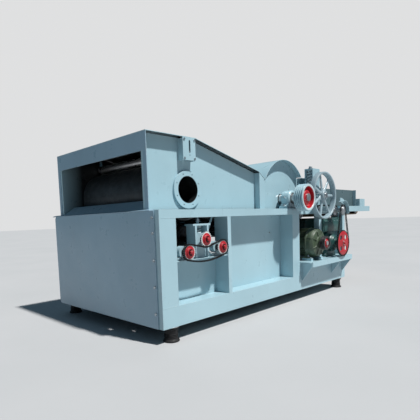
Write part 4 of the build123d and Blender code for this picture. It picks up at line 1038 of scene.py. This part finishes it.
def motor_pulley():
    low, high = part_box("motor_pulley")
    centre = axle("motor_pulley")
    front, back, rim = low.y, high.y - 16 * mm, (high.z - low.z) / 2
    pitch = (back - front - 6 * mm) / 3
    profile = [(back, 40 * mm), (back, rim)] + grooves(front + 5 * mm, pitch, 3, rim, 9, 1, 4, 4.5)
    profile += turned(front, rim, (0, -1), (0, -14), (12, -16))
    black = Shape()
    black.lathe(centre, soften(profile, 1.2 * mm), 80)
    black.make("motor_pulley_rim", "motor_rotor", "dark_steel", BLACK_CAST, replaces=["motor_pulley"])
    red = Shape()
    profile = turned(front, rim, (13, -13), (10, -18))
    profile += turned(front, 0, (9, 34), (3, 31), (2, 21), (3, 19.2))
    red.lathe(centre, soften(profile, 2 * mm), 64)
    red.make("motor_pulley_hub", "motor_rotor", "red_enamel")
    end = Shape()
    profile = turned(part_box("motor_shaft")[0].y, 0, (5, 19.1), (0.6, 18.8), (0.2, 17), (0.2, 4), (3, 0))
    end.lathe(centre, soften(profile, 1 * mm), 40)
    end.make("motor_shaft_tip", "motor_rotor", "steel", FINISH["dark_steel"])


# ---------------------------------------------------------------- feed drive castings
def feed_drive():
    low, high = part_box("speed_changer")
    front, back, base, top = low.y, low.y + 200 * mm, low.z, high.z
    width = high.x - low.x
    case = Shape()
    case.box((low.x, front + 8 * mm, base), (high.x, back, top - 14 * mm), 9 * mm)
    case.box((low.x + 3 * mm, front + 11 * mm, top - 17 * mm), (high.x - 3 * mm, back - 3 * mm, top), 5 * mm)
    case.box((low.x + 14 * mm, front, base + 10 * mm),
             (high.x - 14 * mm, front + 12 * mm, top - 26 * mm), 4 * mm)
    for k in range(9):
        rib = low.x + 34 * mm + k * (width - 68 * mm) / 8
        case.box((rib - 3 * mm, front + 0.5 * mm, base + 14 * mm),
                 (rib + 3 * mm, front + 9 * mm, base + 44 * mm), 1.2 * mm)
    case.make("speed_changer_case", "frame", "teal_enamel", replaces=["speed_changer"])
    bolts = Shape()
    for share in (0.03, 0.2, 0.4, 0.6, 0.8, 0.97):
        bolts.bolt((low.x + share * width, front + 24 * mm, top), (0, 0, 1), 4.5 * mm, washer=False)
        bolts.bolt((low.x + 22 * mm + share * (width - 44 * mm), front, top - 34 * mm), (0, -1, 0), 4.5 * mm,
                   washer=False)
    bolts.make("speed_changer_bolts", "frame", "bolt")

    feed_motor = Shape()
    axis = (low.x + high.x) / 2, (top + base) / 2
    profile = turned(back, 0, (-2, 0), (-2, 69), (16, 69), (18, 60))
    profile += turned(high.y, 0, (-40, 60), (-38, 66), (-10, 66), (0, 56), (0, 0))
    feed_motor.lathe(axis, soften(profile, 3 * mm), 72)
    feed_motor.fins(axis, turns(28, 0), ((58, -2), (69, -1), (69, 1), (58, 2)),
                    (back + 18 * mm, high.y - 42 * mm))
    feed_motor.make("feed_motor", "frame", "teal_enamel")


def reducer():
    low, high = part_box("reducer")
    centre = axle("output_shaft")
    front, face = low.y, low.y + 70 * mm
    case = Shape()
    case.box((low.x, face - 5 * mm, low.z), (high.x, high.y, low.z + 18 * mm), 4 * mm)
    outline = [(low.x + 15 * mm, low.z + 16 * mm), (high.x - 15 * mm, low.z + 16 * mm),
               (high.x - 15 * mm, high.z - 30 * mm), (high.x - 50 * mm, high.z),
               (low.x + 50 * mm, high.z), (low.x + 15 * mm, high.z - 30 * mm)]
    case.prism(soften(outline, 12 * mm, closed=True), (face, high.y - 10 * mm), 4 * mm)
    profile = turned(face, 0, (2, 84), (-22, 83), (-28, 78))
    profile += turned(front, 0, (18, 66), (14, 46), (1, 45), (0, 40), (0, 18.2))
    case.lathe(centre, soften(profile, 3 * mm), 72)
    rib = turned(front, 0, (16, 44), (18, 64)) + turned(face, 0, (-26, 79), (0, 82), (0, 44))
    case.ribs(centre, turns(6), rib, 4 * mm)
    case.make("reducer_case", "frame", "teal_enamel", replaces=["reducer"])
    bolts = Shape()
    for x, z in about(centre, 6, 73 * mm):
        bolts.bolt((x, face - 25 * mm, z), (0, -1, 0), 6 * mm)
    for x in (low.x + 12 * mm, high.x - 12 * mm):
        for y in (face + 16 * mm, high.y - 16 * mm):
            bolts.bolt((x, y, low.z + 18 * mm), (0, 0, 1), 8 * mm, washer=False)
    bolts.make("reducer_bolts", "frame", "bolt")


# ---------------------------------------------------------------- small fittings
def small_fittings():
    low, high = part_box("slotted_plates")
    mid = middle("cage_shell").y
    screws = Shape()
    for side, y in ((-1, low.y), (1, high.y)):
        for dx in (12 * mm, 100 * mm):
            for dz in (14 * mm, 128 * mm):
                screws.bolt((low.x + dx, y, low.z + dz), (0, side, 0), 3.4 * mm, washer=False)
    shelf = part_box("roller_stands")[0].z + 6 * mm
    for node in ("left_sprocket", "right_sprocket"):
        for side in (-1, 1):
            for dx in (-47 * mm, 47 * mm):
                screws.bolt((axle(node)[0] + dx, mid + side * 604 * mm, shelf + 16 * mm), (0, 0, 1), 8 * mm)
    for x, z in (axle("lower_feed_roller"), axle("head_roller")):
        for side in (-1, 1):
            for dx in (-26 * mm, 26 * mm):
                for dz in (-16 * mm, 16 * mm):
                    screws.bolt((x + dx, mid + side * 656 * mm, z + dz), (0, side, 0), 4 * mm, washer=False)
    low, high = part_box("bottom_rails")
    for along, up in ((720 * mm, 600 * mm), (1280 * mm, 513 * mm)):
        screws.bolt((low.x + along, low.y + 120 * mm, low.z + up), (0, -1, 0), 6 * mm)
    screws.make("plate_screws", "frame", "bolt")

    beads = Shape()
    top_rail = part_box("top_rails")[0].z
    for y in (low.y + 1 * mm, high.y - 1 * mm):
        for start, end in ((4, 126), (609, 636), (1449, 1551), (2404, 2446)):
            for z in (high.z, top_rail):
                beads.bead((low.x + start * mm, y, z), (low.x + end * mm, y, z), 2.2 * mm)
    beads.make("weld_beads", "frame", "enamel")


cylinder_pulley()
spoked_wheel()
chain_drives()
springs()
cylinder_bearings()
feet()
motor()
motor_pulley()
feed_drive()
reducer()
small_fittings()


# ---------------------------------------------------------------- floor, light and camera
FLOOR_HALF = 60.0
SUN_AIM, SUN_COLOUR, SUN_STRENGTH, SUN_WIDTH = (-0.10, 0.48, -0.87), (1.0, 0.98, 0.95), 5.0, radians(2.5)
SKY_COLOUR, SKY_STRENGTH = (0.45, 0.74, 1.0, 1), 0.175
BACKDROP_COLOUR = (0.74, 0.745, 0.75, 1)
LENS, LENS_SHIFT = 32.8, (0.0411, 0.1016)       # matched to the photo
CAMERA_PLACE = (-3.0056, -2.3035, 0.7367)
CAMERA_RIGHT, CAMERA_UP = Vector((0.70989, -0.70342, -0.03545)), Vector((0.08570, 0.03631, 0.99566))


def floor():
    mesh = bpy.data.meshes.new("floor")
    corners = [(x * FLOOR_HALF, y * FLOOR_HALF, 0) for x, y in ((-1, -1), (1, -1), (1, 1), (-1, 1))]
    mesh.from_pydata(corners, [], [(0, 1, 2, 3)])
    mesh.materials.append(floor_material())
    plane = bpy.data.objects.new("floor", mesh)
    bpy.context.scene.collection.objects.link(plane)


def lights():
    sun = bpy.data.lights.new("key", "SUN")
    sun.energy, sun.angle, sun.color = SUN_STRENGTH, SUN_WIDTH, SUN_COLOUR
    key = bpy.data.objects.new("key", sun)
    key.rotation_euler = Vector(SUN_AIM).to_track_quat("-Z", "Y").to_euler()
    bpy.context.scene.collection.objects.link(key)
    world = bpy.data.worlds.new("studio")
    world.use_nodes = True
    nodes, links = world.node_tree.nodes, world.node_tree.links
    fill = nodes["Background"]
    fill.inputs["Color"].default_value = SKY_COLOUR
    fill.inputs["Strength"].default_value = SKY_STRENGTH
    backdrop = nodes.new("ShaderNodeBackground")
    backdrop.inputs["Color"].default_value = BACKDROP_COLOUR
    switch = nodes.new("ShaderNodeMixShader")
    links.new(nodes.new("ShaderNodeLightPath").outputs["Is Camera Ray"], switch.inputs[0])
    links.new(fill.outputs[0], switch.inputs[1])
    links.new(backdrop.outputs[0], switch.inputs[2])
    links.new(switch.outputs[0], nodes["World Output"].inputs["Surface"])
    bpy.context.scene.world = world
    bpy.context.scene.view_settings.view_transform = "Standard"


def camera():
    data = bpy.data.cameras.new("camera")
    data.sensor_width = 36
    data.lens = LENS
    data.shift_x, data.shift_y = LENS_SHIFT
    data.clip_start, data.clip_end = 0.05, 200
    view = bpy.data.objects.new("camera", data)
    turn = Matrix((CAMERA_RIGHT, CAMERA_UP, CAMERA_RIGHT.cross(CAMERA_UP))).transposed().to_4x4()
    view.matrix_world = Matrix.Translation(CAMERA_PLACE) @ turn
    bpy.context.scene.collection.objects.link(view)
    bpy.context.scene.camera = view


floor()
lights()
camera()
